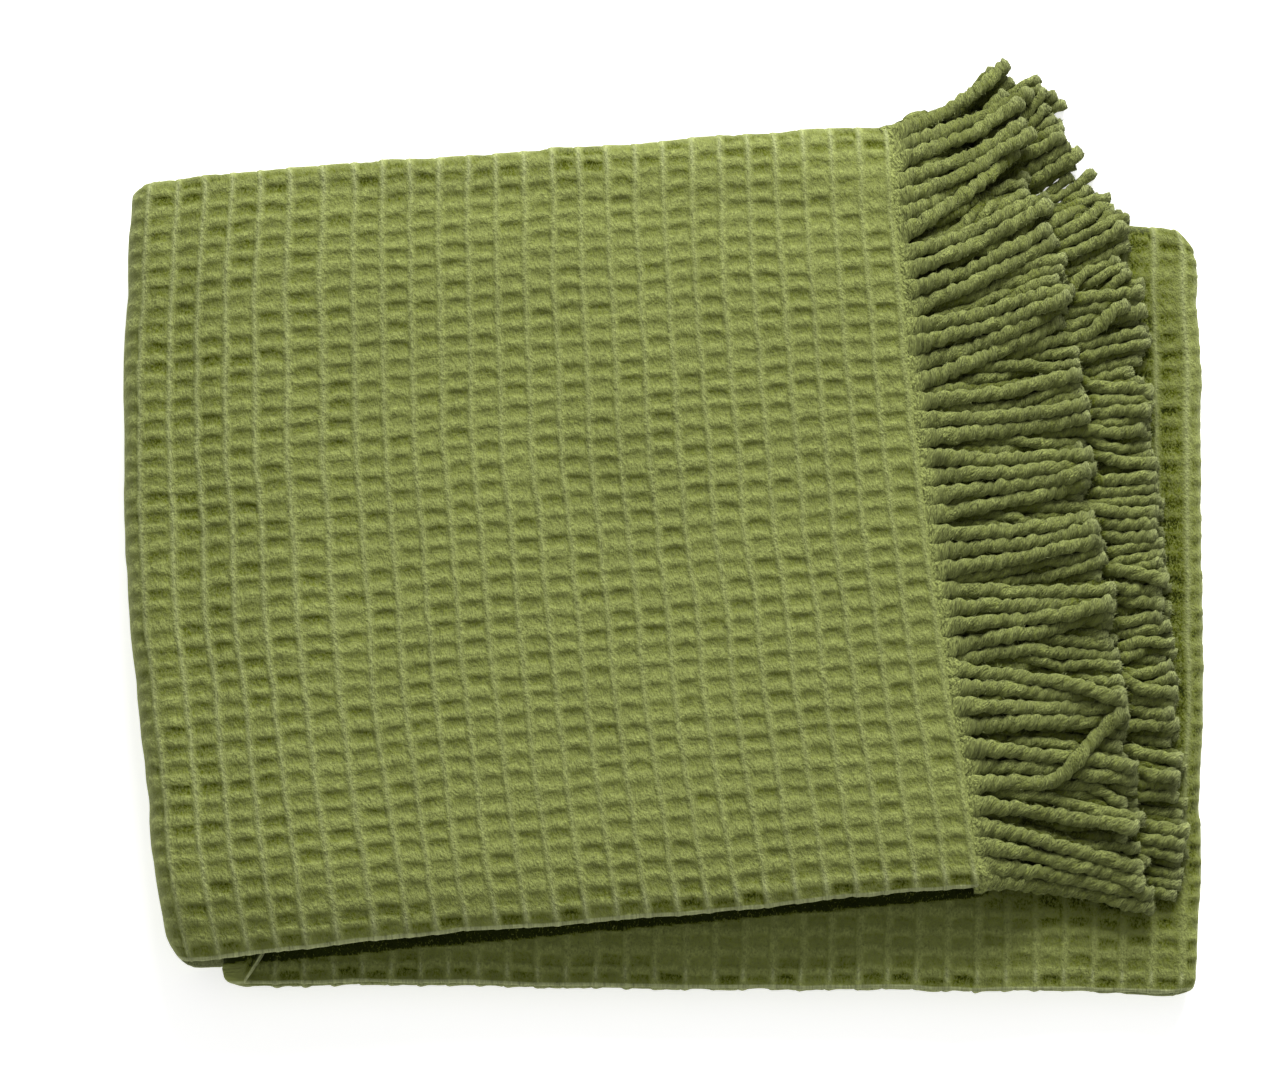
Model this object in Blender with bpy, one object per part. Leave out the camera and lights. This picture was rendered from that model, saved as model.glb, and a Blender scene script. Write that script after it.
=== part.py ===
"""A waffle weave cotton throw with twisted fringe, folded flat.

The throw is quartered across its width, so its cloth is a strip four layers thick: two
selvedges and a fold lie at the front, and two folds lie at the back. The strip is then folded
back and forth along its length, so that both fringed ends lie on top, one over the other:

        upper end  <------------------ upper panel, heads left
        lower end  ---------------->   second panel, heads right
                   <------------------------------------ third panel, heads left
                   ------------------------------------> base, heads right

The cloth is one solid. Each end's fringe is a solid of its own: a narrow folded strip along
the cloth's edge, with the fringe's strands growing out of it.

X runs along the throw, Y from the front to the back, Z up. Sizes are in millimetres here,
and angles in degrees.
"""
import math
from collections import namedtuple

import bmesh
import bpy

MM = 0.001
CENTRE = (12.2, 13.5)           # middle of the pile's box, in the plan of the tables below

# Cloth
THICKNESS = 1.85                # waffle cotton, from pit to ridge
LAYER_PITCH = 2.2               # from one layer of the quartered strip to the next
PANEL_PITCH = 9.4               # from one panel of four layers to the next
PANEL_HALF = 1.5 * LAYER_PITCH + 0.5 * THICKNESS
ACROSS_SHARES = (0.0, 0.06, 0.14, 0.38, 0.62, 0.86, 0.93, 1.0)  # faces meet here across a layer
ALONG_SHARES = (0.14, 0.38, 0.62, 0.86, 1.0)                    # and here along a panel
OUTER_STEPS = 8                 # faces round the wide fold, and round the two tight ones
TIGHT_STEPS = 5

# Fringe
STRANDS = 36                    # in a layer, where its edge isn't drawn back
STRAND = 3.3                    # width and height of one strand
STRAND_GAP = 0.4                # between strands that lie on each other
STRAND_LENGTH = 68.0
UNEVEN = 2.5                    # how much longer or shorter than that a strand may be
UNEVEN_TURN = 7.3               # how far the unevenness turns from one strand to the next
EDGE_MARGIN = 0.3               # least distance of a strand from a layer's front edge
EDGE_GAP = 0.6                  # between the cloth's edge and the fringe's strip
STRIP_WIDTH = 5.0               # width of the strip that holds the strands' roots

# How the pile settles
REST_GAP = 0.7                  # between the lower panel and what lies on it
REST = PANEL_PITCH + 2.0 * PANEL_HALF + REST_GAP
BACK_BULGE = PANEL_HALF + 2.0   # the free corner starts to sag this far behind the fold lines
SAG_RUN = 80.0                  # and reaches the floor in this distance
LOFT_FROM = 0.7                 # share of the width at which the upper fringe starts to stand off

# Lines across the throw, from the front edge to the back one: folds and fringed ends.
# bow is how far the middle of a line curves to +X, and tuck is how far the layers under
# the upper one are drawn back from the front edge.
Line = namedtuple("Line", "front_x front_y back_x back_y bow tuck")
LINES = {
    #                   front_x  front_y  back_x  back_y   bow  tuck
    "upper_end":   Line(  138.5,  -144.5,  107.5,  171.5, -4.0,  7.0),
    "outer_fold":  Line( -167.0,  -172.0, -192.0,  146.5, -9.0,  5.0),
    "right_fold":  Line(  216.0,  -184.5,  227.0,  131.0,  2.0,  1.0),
    "inner_fold":  Line( -156.0,  -180.5, -158.0,  136.0,  0.0,  1.5),
    "drawn_back":  Line( -120.0,  -165.0, -126.0,  142.0,  0.0,  2.0),
    "lower_end":   Line(  148.0,  -141.5,  116.0,  172.5,  5.0,  2.0),
}

# The folds along the throw. level is the height of a fold's middle, side is +1 where it
# opens to the left and lies at the right, and sense is +1 where the cloth's face is outside.
Fold = namedtuple("Fold", "level radius side sense")
FOLDS = {
    #                   level                            radius             side sense
    "outer_fold":  Fold(PANEL_HALF + 1.5 * PANEL_PITCH, 1.5 * PANEL_PITCH, -1, 1),
    "right_fold":  Fold(PANEL_HALF + 0.5 * PANEL_PITCH, 0.5 * PANEL_PITCH, 1, 1),
    "inner_fold":  Fold(PANEL_HALF + 1.5 * PANEL_PITCH, 0.5 * PANEL_PITCH, -1, -1),
}
TOP = 0.0                       # angles round a fold
BOTTOM = 180.0


def even_shares(steps):
    return [step / steps for step in range(1, steps + 1)]


# The way along the throw, a row for each panel or fold. The angles go round the named fold,
# and a panel keeps the angle at which it meets that fold.
Stretch = namedtuple("Stretch", "start end fold start_angle end_angle shares")
PATH = (
    Stretch("upper_end", "outer_fold", "outer_fold", TOP, TOP, ALONG_SHARES),
    Stretch("outer_fold", "outer_fold", "outer_fold", TOP, BOTTOM, even_shares(OUTER_STEPS)),
    Stretch("outer_fold", "right_fold", "right_fold", BOTTOM, BOTTOM, ALONG_SHARES),
    Stretch("right_fold", "right_fold", "right_fold", BOTTOM, TOP, even_shares(TIGHT_STEPS)),
    Stretch("right_fold", "inner_fold", "inner_fold", BOTTOM, BOTTOM, ALONG_SHARES),
    Stretch("inner_fold", "inner_fold", "inner_fold", BOTTOM, TOP, even_shares(TIGHT_STEPS)),
    Stretch("inner_fold", "drawn_back", "inner_fold", TOP, TOP, even_shares(1)),
    Stretch("drawn_back", "lower_end", "inner_fold", TOP, TOP, ALONG_SHARES),
)

# The quartered strip's layers, in the order in which the cloth passes through them: each
# one's height in layer pitches, whether its front edge is drawn back, the faces round the
# fold that leads to the next layer, and where its first strand lies, in strand pitches.
Layer = namedtuple("Layer", "height tucked fold_steps first_strand")
LAYERS = (
    Layer(1.5, 0, 6, 0.25),
    Layer(-1.5, 1, 4, 0.75),
    Layer(-0.5, 1, 4, 0.25),
    Layer(0.5, 1, 1, 0.75),
)

# Rims at which the pile is thinner: the ends of each edge in plan, the share of the height
# that is left there, and how far in the rim reaches. The pile lies to the left of each edge.
Rim = namedtuple("Rim", "start start_side end end_side keep reach")
RIMS = (
    Rim("outer_fold", "front", "right_fold", "front", 0.96, 30.0),
    Rim("right_fold", "front", "right_fold", "back", 0.93, 40.0),
    Rim("right_fold", "back", "outer_fold", "back", 0.93, 40.0),
    Rim("outer_fold", "back", "outer_fold", "front", 0.90, 40.0),
    Rim("outer_fold", "front", "upper_end", "front", 0.95, 36.0),
)

# The direction in which the strands lie, from +X, at shares of the width.
Fan = namedtuple("Fan", "share angle")
FAN = (
    Fan(0.0, -12.0),
    Fan(0.12, -5.0),
    Fan(0.3, 3.0),
    Fan(0.6, 8.0),
    Fan(0.87, 20.0),
    Fan(0.94, 29.0),
    Fan(1.0, 38.0),
)
HALFWAY_TURN = 0.7              # share of its turn into that direction that a strand has made
TIP_TURN = 1.2                  # halfway, and at its tip

# Each fringed end: the line and the fold of its panel, the number of pairs of layers of
# strands that lie under its lower pair, how much higher than at rest on those its strands
# pass halfway and end, and how much they stand off at the free corner.
End = namedtuple("End", "name line fold pairs_below halfway_lift tip_lift loft")
ENDS = (
    End("fringe_upper", "upper_end", "outer_fold", 2, 2.2, 0.6, 3.0),
    End("fringe_lower", "lower_end", "inner_fold", 0, 0.0, 0.0, 0.0),
)

# Colours
COTTON_COLOUR = (0.216, 0.243, 0.072, 1.0)
YARN_COLOUR = (0.204, 0.231, 0.067, 1.0)
COTTON_ROUGHNESS = 0.95


def mix(first, second, share):
    return first + (second - first) * share


def clamp(value):
    return min(1.0, max(0.0, value))


def smooth_step(value):
    value = clamp(value)
    return value * value * (3.0 - 2.0 * value)


def mix_lines(first, second, share):
    return Line(*(mix(a, b, share) for a, b in zip(first, second)))


def across(line):
    """Length of a line across the throw, and its direction from front to back."""
    reach = (line.back_x - line.front_x, line.back_y - line.front_y)
    length = math.hypot(*reach)
    return length, (reach[0] / length, reach[1] / length)


# ---- how the evenly stacked pile settles

def line_end(name, side):
    line = LINES[name]
    return (line.front_x, line.front_y) if side == "front" else (line.back_x, line.back_y)


def left_of(x, y, start, end):
    """Distance of a place to the left of the line from start to end."""
    along = (end[0] - start[0], end[1] - start[1])
    away = (x - start[0], y - start[1])
    return (along[0] * away[1] - along[1] * away[0]) / math.hypot(*along)


def crown(x, y):
    """Share of its full height that the pile has at a place: less at its rims."""
    share = 1.0
    for rim in RIMS:
        inside = left_of(x, y, line_end(rim.start, rim.start_side), line_end(rim.end, rim.end_side))
        share *= 1.0 - (1.0 - rim.keep) * (1.0 - clamp(inside / rim.reach)) ** 2
    return share


def sag(x, y):
    """Drop of what lies on the lower panel, where it hangs over that panel's back edge."""
    behind = left_of(x, y, line_end("outer_fold", "back"), line_end("right_fold", "back"))
    return REST * smooth_step((behind - BACK_BULGE) / SAG_RUN)


def settle(point):
    """A point of the evenly stacked pile, moved to where it lies, in metres."""
    x, y, z = point
    return (x - CENTRE[0]) * MM, (y - CENTRE[1]) * MM, crown(x, y) * (z - sag(x, y)) * MM


# ---- the quartered strip's section, across the throw

# A place on the middle of the cloth, across the throw: share runs from the front edge to
# the back fold, past is the distance to the back of the edge that it is on, height is from
# the strip's middle, and the last two are the cloth's normal.
Sample = namedtuple("Sample", "tucked share past height past_normal height_normal")


def layer_samples(layer, shares, heading):
    """One layer, from edge to edge; heading is +1 where it leads to the back."""
    ordered = shares if heading > 0 else shares[::-1]
    height = layer.height * LAYER_PITCH
    return [Sample(layer.tucked, share, 0.0, height, 0.0, heading) for share in ordered]


def fold_samples(layer, following, heading):
    """The fold between two layers, without its ends, which belong to the layers."""
    middle = 0.5 * (layer.height + following.height) * LAYER_PITCH
    arm = 0.5 * (layer.height - following.height) * LAYER_PITCH
    up = math.copysign(1.0, arm)
    share = 1.0 if heading > 0 else 0.0
    samples = []
    for step in range(1, layer.fold_steps):
        turn = math.pi * step / layer.fold_steps
        out = heading * math.sin(turn)
        rise = up * math.cos(turn)
        samples.append(Sample(
            following.tucked, share, out * abs(arm), middle + rise * abs(arm),
            up * heading * out, up * heading * rise))
    return samples


def strip_section(layer_shares):
    """The whole strip's section, from one selvedge to the other."""
    samples = []
    heading = 1
    for number, layer in enumerate(LAYERS):
        samples += layer_samples(layer, layer_shares(layer), heading)
        if number + 1 < len(LAYERS):
            samples += fold_samples(layer, LAYERS[number + 1], heading)
        heading = -heading
    return samples


# ---- the way along the throw

# A place along the throw: the line across it there, the fold it belongs to, and the angle
# that it has gone round that fold.
Station = namedtuple("Station", "line fold angle")


def path_stations():
    """Stations along the whole throw, from its upper end to its lower one."""
    first = PATH[0]
    stations = [Station(LINES[first.start], FOLDS[first.fold], first.start_angle)]
    for stretch in PATH:
        for share in stretch.shares:
            line = mix_lines(LINES[stretch.start], LINES[stretch.end], share)
            angle = mix(stretch.start_angle, stretch.end_angle, share)
            stations.append(Station(line, FOLDS[stretch.fold], angle))
    return stations


def place(station, sample, side):
    """A point on the cloth, on the side that its normal points to, +1, or the other, -1."""
    line = station.line
    length, along = across(line)
    right = (along[1], -along[0])
    travel = max(sample.tucked * line.tuck, sample.share * length)
    shift = line.bow * 4.0 * (travel / length) * (1.0 - travel / length)
    travel += sample.past + side * 0.5 * THICKNESS * sample.past_normal
    height = sample.height + side * 0.5 * THICKNESS * sample.height_normal
    arm = station.fold.radius + station.fold.sense * height
    turn = math.radians(station.angle)
    shift += station.fold.side * arm * math.sin(turn)
    return (line.front_x + along[0] * travel + right[0] * shift,
            line.front_y + along[1] * travel + right[1] * shift,
            station.fold.level + arm * math.cos(turn))


# ---- meshes

def add_ring(mesh, station, section):
    """The cloth's outline at one station, as a list of points for each of its two sides."""
    return [[mesh.verts.new(settle(place(station, sample, side))) for sample in section]
            for side in (1, -1)]


def add_quad(mesh, one, two, three, four):
    """Two triangles that meet from front left to back right, so that all layers bend alike."""
    reach = three.co - one.co
    if reach.x * reach.y > 0.0:
        mesh.faces.new((one, two, three))
        mesh.faces.new((one, three, four))
    else:
        mesh.faces.new((one, two, four))
        mesh.faces.new((two, three, four))


def join_rings(mesh, first, second):
    """Faces between two stations, on both sides of the cloth and along its two selvedges."""
    outline_a = first[0] + first[1][::-1]
    outline_b = second[0] + second[1][::-1]
    for index in range(len(outline_a)):
        before = index - 1
        add_quad(mesh, outline_a[before], outline_a[index], outline_b[index], outline_b[before])


def cap_ring(mesh, ring, roots=()):
    """Faces across the cloth's thickness at one station, but for the strands' roots."""
    for index in range(len(ring[0]) - 1):
        if index not in roots:
            mesh.faces.new((ring[0][index], ring[0][index + 1], ring[1][index + 1], ring[1][index]))


def cotton(name, colour):
    material = bpy.data.materials.new(name)
    material.use_nodes = True
    shader = material.node_tree.nodes["Principled BSDF"]
    shader.inputs["Base Color"].default_value = colour
    shader.inputs["Roughness"].default_value = COTTON_ROUGHNESS
    shader.inputs["Metallic"].default_value = 0.0
    return material


def finish(mesh, name, material):
    """Makes the mesh an object, with its faces pointing out."""
    bmesh.ops.recalc_face_normals(mesh, faces=mesh.faces)
    data = bpy.data.meshes.new(name)
    mesh.to_mesh(data)
    mesh.free()
    data.materials.append(material)
    bpy.context.collection.objects.link(bpy.data.objects.new(name, data))


def make_throw(material):
    """The folded cloth."""
    mesh = bmesh.new()
    section = strip_section(lambda layer: ACROSS_SHARES)
    rings = [add_ring(mesh, station, section) for station in path_stations()]
    for first, second in zip(rings, rings[1:]):
        join_rings(mesh, first, second)
    cap_ring(mesh, rings[0])
    cap_ring(mesh, rings[-1])
    finish(mesh, "throw", material)


# ---- fringe

def strand_shares(layer):
    """Shares of the width at a layer's two edges and at both sides of each of its strands."""
    line = LINES["upper_end"]
    length = across(line)[0]
    shares = [0.0]
    for strand in range(STRANDS):
        near = (strand + layer.first_strand) / STRANDS * length - 0.5 * STRAND
        if near > layer.tucked * line.tuck + EDGE_MARGIN:
            shares += [near / length, (near + STRAND) / length]
    return shares + [1.0]


def root_numbers():
    """The samples of the strip's section after which a strand's root follows."""
    numbers = []
    start = 0
    for layer in LAYERS:
        count = len(strand_shares(layer))
        numbers += range(start + 1, start + count - 2, 2)
        start += count + layer.fold_steps - 1
    return numbers


def past_end(line, distance):
    """The line beyond a fringed end, at a distance from it."""
    along = across(line)[1]
    shift_x = along[1] * distance
    shift_y = -along[0] * distance
    return line._replace(front_x=line.front_x + shift_x, front_y=line.front_y + shift_y,
                         back_x=line.back_x + shift_x, back_y=line.back_y + shift_y)


def fan_angle(share):
    """The direction in which the strands lie at a share of the width."""
    for first, second in zip(FAN, FAN[1:]):
        if share <= second.share:
            return mix(first.angle, second.angle, (share - first.share) / (second.share - first.share))
    return FAN[-1].angle


def resting_height(end, sample):
    """Height of a strand's middle where it lies: each two layers of strands lie as one."""
    upper_pair = sample.height * FOLDS[end.fold].sense > 0.0
    pair = end.pairs_below + (1 if upper_pair else 0)
    loft = end.loft * smooth_step((sample.share - LOFT_FROM) / (1.0 - LOFT_FROM))
    return REST + 0.5 * STRAND + pair * (STRAND + STRAND_GAP) + loft


def strand_corners(x, y, z, angle):
    """The four corners of a strand's section: low ones first, front ones outermost."""
    side_x = -0.5 * STRAND * math.sin(angle)
    side_y = 0.5 * STRAND * math.cos(angle)
    low = z - 0.5 * STRAND
    high = z + 0.5 * STRAND
    return [(x - side_x, y - side_y, low), (x + side_x, y + side_y, low),
            (x + side_x, y + side_y, high), (x - side_x, y - side_y, high)]


def strand_sections(end, sample, x, y, number):
    """A strand's sections halfway and at its tip, from its root's place."""
    along = across(LINES[end.line])[1]
    square = math.degrees(math.atan2(-along[0], along[1]))
    height = resting_height(end, sample)
    uneven = UNEVEN * math.sin(UNEVEN_TURN * number + sample.height)
    step = 0.5 * (STRAND_LENGTH + uneven)
    sections = []
    for turn, lift in ((HALFWAY_TURN, end.halfway_lift), (TIP_TURN, end.tip_lift)):
        angle = math.radians(mix(square, fan_angle(sample.share), turn))
        x += step * math.cos(angle)
        y += step * math.sin(angle)
        sections.append(strand_corners(x, y, height + lift, angle))
    return sections


def root_corners(ring, number, section):
    """A root's corners in the order of a strand's: low ones first, front ones outermost."""
    front, back = number, number + 1
    if section[front].share > section[back].share:
        front, back = back, front
    low, high = ring
    if low[front].co.z > high[front].co.z:
        low, high = high, low
    return [low[front], low[back], high[back], high[front]]


def add_strand(mesh, root, sections):
    """A four-sided strand that grows from its root through its sections."""
    ring = root
    for section in sections:
        following = [mesh.verts.new(settle(point)) for point in section]
        for index in range(4):
            before = index - 1
            mesh.faces.new((ring[before], ring[index], following[index], following[before]))
        ring = following
    mesh.faces.new(ring)


def make_fringe(end, material):
    """The strip along one end of the cloth, with its strands."""
    mesh = bmesh.new()
    section = strip_section(strand_shares)
    near, far = [Station(past_end(LINES[end.line], distance), FOLDS[end.fold], TOP)
                 for distance in (EDGE_GAP, EDGE_GAP + STRIP_WIDTH)]
    near_ring = add_ring(mesh, near, section)
    far_ring = add_ring(mesh, far, section)
    join_rings(mesh, near_ring, far_ring)
    roots = root_numbers()
    cap_ring(mesh, near_ring)
    cap_ring(mesh, far_ring, roots)
    for number in roots:
        first = place(far, section[number], 0)
        second = place(far, section[number + 1], 0)
        x = 0.5 * (first[0] + second[0])
        y = 0.5 * (first[1] + second[1])
        sections = strand_sections(end, section[number], x, y, number)
        add_strand(mesh, root_corners(far_ring, number, section), sections)
    finish(mesh, end.name, material)


def main():
    for old in list(bpy.data.objects):
        bpy.data.objects.remove(old)
    make_throw(cotton("olive_waffle_cotton", COTTON_COLOUR))
    yarn = cotton("olive_twisted_yarn", YARN_COLOUR)
    for end in ENDS:
        make_fringe(end, yarn)


main()
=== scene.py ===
# %% [markdown]
# A waffle weave cotton throw with a twisted fringe, folded flat.
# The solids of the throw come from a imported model. They have the real size and folds, but plain
# smooth faces. This script dresses them: it rebuilds the cloth on the same folds with its woven
# relief, lays the fringe's cords, and gives both their cotton.

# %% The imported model
import math
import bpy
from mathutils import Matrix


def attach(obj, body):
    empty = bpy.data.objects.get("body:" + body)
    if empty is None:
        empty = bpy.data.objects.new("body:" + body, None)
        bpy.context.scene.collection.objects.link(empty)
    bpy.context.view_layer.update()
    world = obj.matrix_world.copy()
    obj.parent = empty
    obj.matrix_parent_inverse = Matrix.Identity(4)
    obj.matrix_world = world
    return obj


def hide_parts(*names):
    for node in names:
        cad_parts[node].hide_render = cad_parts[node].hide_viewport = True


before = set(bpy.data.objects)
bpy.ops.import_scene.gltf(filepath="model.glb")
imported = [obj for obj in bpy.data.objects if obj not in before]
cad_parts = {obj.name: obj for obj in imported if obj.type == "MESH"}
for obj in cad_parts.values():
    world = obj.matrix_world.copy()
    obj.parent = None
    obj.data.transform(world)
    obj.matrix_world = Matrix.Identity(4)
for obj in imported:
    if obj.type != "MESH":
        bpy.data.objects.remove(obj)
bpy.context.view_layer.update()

from types import SimpleNamespace

import bpy
import numpy as np
from mathutils import Vector, kdtree

MM = 0.001                      # every measure below is in millimetres

# %% [markdown]
# The camera looks almost straight down on the pile, a little from the front, so that the upper
# panel fills the picture and its front edge still shows. A long lens from 1.5 m keeps the cloth's
# rows nearly parallel. The camera comes first, because it decides where fine detail is needed.

# %% Camera
LOOK_AT = Vector((-12.2, -13.5, 25.0)) * MM
CAMERA_DISTANCE = 1500 * MM
CAMERA_ELEVATION = math.radians(77.0)
LENS = 104.2
SENSOR = 36.0


def make_camera():
    camera = bpy.data.objects.new("camera", bpy.data.cameras.new("camera"))
    bpy.context.scene.collection.objects.link(camera)
    back = Vector((0.0, -math.cos(CAMERA_ELEVATION), math.sin(CAMERA_ELEVATION)))
    camera.location = LOOK_AT + back * CAMERA_DISTANCE
    camera.rotation_euler = (-back).to_track_quat("-Z", "Y").to_euler()
    camera.data.lens = LENS
    camera.data.sensor_width = SENSOR
    bpy.context.scene.camera = camera
    return camera


print("camera at", make_camera().location)

# %% [markdown]
# Folded cloth could be simulated, but a pile of sixteen layers never comes out twice the same,
# and it has to fit its solids. So the folds are a formula. The throw is quartered across its
# width, which gives a strip four layers thick, and the strip goes back and forth along its
# length. These tables say where each fold and each fringed end lies, from the front edge of the
# pile to its back edge, seen from above.

# %% Where the folds lie
CENTRE = (12.2, 13.5)           # the solids' middle, in the plan of the tables
THICKNESS = 1.85                # of the cloth without its relief
LAYER_PITCH = 2.2               # from layer to layer in the strip
PANEL_PITCH = 9.4               # from panel to panel in the pile
PANEL_HALF = 1.5 * LAYER_PITCH + 0.5 * THICKNESS
LINES = {
    # name: front x, front y, back x, back y, bow to the right, tuck of the lower layers
    "upper_end": (138.5, -144.5, 107.5, 171.5, -4.0, 11.0),
    "outer_fold": (-167.0, -172.0, -192.0, 146.5, -9.0, 7.0),
    "right_fold": (216.0, -184.5, 227.0, 131.0, 2.0, 2.0),
    "inner_fold": (-156.0, -180.5, -158.0, 136.0, 0.0, 0.5),
    "drawn_back": (-145.0, -164.0, -150.0, 142.0, 0.0, 3.0),
    "lower_end": (154.0, -133.0, 121.0, 172.5, 5.0, 3.0),
}
FOLDS = {
    # name: height of its middle, radius, side (+1 at the right), sense (+1 face outside)
    "outer_fold": (PANEL_HALF + 1.5 * PANEL_PITCH, 1.5 * PANEL_PITCH, -1, 1),
    "right_fold": (PANEL_HALF + 0.5 * PANEL_PITCH, 0.5 * PANEL_PITCH, 1, 1),
    "inner_fold": (PANEL_HALF + 1.5 * PANEL_PITCH, 0.5 * PANEL_PITCH, -1, -1),
}
PATH = (
    # from line, to line, round which fold, from angle, to angle
    ("upper_end", "outer_fold", "outer_fold", 0.0, 0.0),
    ("outer_fold", "outer_fold", "outer_fold", 0.0, 180.0),
    ("outer_fold", "right_fold", "right_fold", 180.0, 180.0),
    ("right_fold", "right_fold", "right_fold", 180.0, 0.0),
    ("right_fold", "inner_fold", "inner_fold", 180.0, 180.0),
    ("inner_fold", "inner_fold", "inner_fold", 180.0, 0.0),
    ("inner_fold", "drawn_back", "inner_fold", 0.0, 0.0),
    ("drawn_back", "lower_end", "inner_fold", 0.0, 0.0),
)
UPPER_END, WRAP, BASE, RIGHT_FOLD, LOWER_PANEL, INNER_FOLD, DRAWN_BACK, SECOND, LOWER_END = range(9)


def mix(first, second, share):
    return first + (second - first) * share


def smooth_step(value):
    value = np.clip(value, 0.0, 1.0)
    return value * value * (3.0 - 2.0 * value)


def stations(places):
    """Lines, folds and angles at places along the path: 2.25 is a quarter into its third row."""
    places = np.asarray(places, float)
    row = np.clip(places.astype(int), 0, len(PATH) - 1)
    share = (places - row)[:, None]
    start = np.array([LINES[way[0]] for way in PATH])[row]
    end = np.array([LINES[way[1]] for way in PATH])[row]
    fold = np.array([FOLDS[way[2]] for way in PATH])[row]
    angles = np.array([way[3:] for way in PATH])[row]
    return mix(start, end, share), fold, np.radians(mix(angles[:, :1], angles[:, 1:], share))


print("the strip turns at", ", ".join(FOLDS))

# %% [markdown]
# One formula puts any point of the cloth in its place. A point is known by its station along the
# throw, by how far across the strip it lies, and by its height in the strip. On a panel, the
# height is simply added. Round a fold, it makes the radius larger or smaller, so that the layers
# stay side by side as they turn. A real fold is pressed by the weight on it, so its section isn't
# quite a circle: it lies between a circle and a square.

# %% From the flat cloth to the folded one
PRESSED = 3.0                   # 2 makes a fold round, and more presses it squarer


def place(station, ring, offset):
    """Points of the evenly stacked pile, offset outwards from the middle of the cloth."""
    line, fold, angle = station
    front_x, front_y, back_x, back_y, bow, tuck = np.split(line, 6, axis=1)
    level, radius, side, sense = np.split(fold, 4, axis=1)
    length = np.hypot(back_x - front_x, back_y - front_y)
    along_x = (back_x - front_x) / length
    along_y = (back_y - front_y) / length
    travel = np.maximum(ring["tucked"] * tuck, ring["share"] * length)
    shift = bow * 4.0 * (travel / length) * (1.0 - travel / length)
    travel = travel + ring["past"] + offset * ring["past_normal"]
    arm = radius + sense * (ring["height"] + offset * ring["height_normal"])
    squareness = np.abs(np.sin(angle)) ** PRESSED + np.abs(np.cos(angle)) ** PRESSED
    arm = arm / squareness ** (1 / PRESSED)
    shift = shift + side * arm * np.sin(angle)
    return (front_x + along_x * travel + along_y * shift,
            front_y + along_y * travel - along_x * shift,
            level + arm * np.cos(angle))


def middle_of_layer(share, height, tucked=0.0):
    """A ring of bare points on the middle of a layer, with no thickness."""
    share = np.atleast_1d(np.asarray(share, float))
    still = np.zeros_like(share)
    return {"tucked": still + tucked, "share": share, "past": still,
            "height": still + height, "past_normal": still, "height_normal": still}


corner = place(stations([BASE]), middle_of_layer(0.0, 0.0), 0.0)
print("the base panel starts at", [round(value.item(), 1) for value in corner], "mm")

# %% [markdown]
# The weave has to run on evenly round the folds, so the cloth's own length is measured first,
# along the outermost layer. Where the wide fold pulls the cloth, the cells are a little longer.

# %% How long the cloth is
FINE_STEPS = 200
fine_places = np.linspace(0.0, len(PATH), len(PATH) * FINE_STEPS + 1)
outer_layer = np.hstack(place(stations(fine_places), middle_of_layer(0.5, 1.5 * LAYER_PITCH), 0.0))
steps = np.linalg.norm(np.diff(outer_layer, axis=0), axis=1)
lengths = np.concatenate([[0.0], np.cumsum(steps)])
PULL = 4.9                      # near the wide fold the weave is stretched out by this
PULL_FROM = 228.0               # distance from the fringed end where that begins
PULL_RUN = 40.0
woven = lengths - PULL * smooth_step((lengths - PULL_FROM) / PULL_RUN)

# %% [markdown]
# Nothing on real cloth is quite straight or even, so the next steps need noise. It is made here
# from whole numbers, not from a random generator, so each run gives the same cloth, and each
# place has its own value whatever the mesh is like.

# %% Steady noise
def hashed(x, y, seed):
    """A steady random number from 0 to 1 for each pair of whole numbers."""
    mixed = (x * 374761393 + y * 668265263 + seed * 1274126177) & 0xFFFFFFFF
    mixed = ((mixed ^ (mixed >> 13)) * 1103515245) & 0xFFFFFFFF
    return ((mixed ^ (mixed >> 16)) & 0xFFFF) / 65535.0


def noise(x, y, seed):
    """Smooth noise from -1 to 1, with its bumps about one unit apart."""
    x, y = np.broadcast_arrays(np.asarray(x, float), np.asarray(y, float))
    cell_x = np.floor(x).astype(np.int64)
    cell_y = np.floor(y).astype(np.int64)
    share_x = smooth_step(x - cell_x)
    share_y = smooth_step(y - cell_y)
    near = mix(hashed(cell_x, cell_y, seed), hashed(cell_x + 1, cell_y, seed), share_x)
    far = mix(hashed(cell_x, cell_y + 1, seed), hashed(cell_x + 1, cell_y + 1, seed), share_x)
    return 2.0 * mix(near, far, share_y) - 1.0


print("noise at three places:", noise((0.2, 0.7, 1.4), 0.0, 1).round(2))

# %% [markdown]
# A real pile isn't stacked evenly. Its rims are thinner than its middle, the fringe presses the
# lower panel down, and what hangs over the lower panel's back edge sinks to the floor. Each of
# these is a soft change of the whole pile's height at a place in plan, so layers never cross.

# %% How the pile sinks
REST_GAP = 0.7
REST = PANEL_PITCH + 2.0 * PANEL_HALF + REST_GAP    # the cloth above sinks by this
BACK_BULGE = PANEL_HALF + 2.0   # past the lower panel's back line by this,
SAG_RUN = 80.0                  # over this distance
RIMS = (
    # an edge's start and end, the share of the height that is left there, and its reach
    ("outer_fold", "front", "right_fold", "front", 0.88, 36.0),
    ("right_fold", "front", "right_fold", "back", 0.91, 40.0),
    ("right_fold", "back", "outer_fold", "back", 0.93, 40.0),
    ("outer_fold", "back", "outer_fold", "front", 0.90, 40.0),
    ("outer_fold", "front", "upper_end", "front", 0.95, 36.0),
)
DIP = 0.17                      # the fringe presses the lower panel down by this share,
DIP_FROM = -3.0                 # from here inside the right fold,
DIP_SLOPE = 15.0
DIP_TO = 36.0                   # to here
DIP_RISE = 40.0


def line_end(name, side):
    line = LINES[name]
    return line[:2] if side == "front" else line[2:4]


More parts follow.
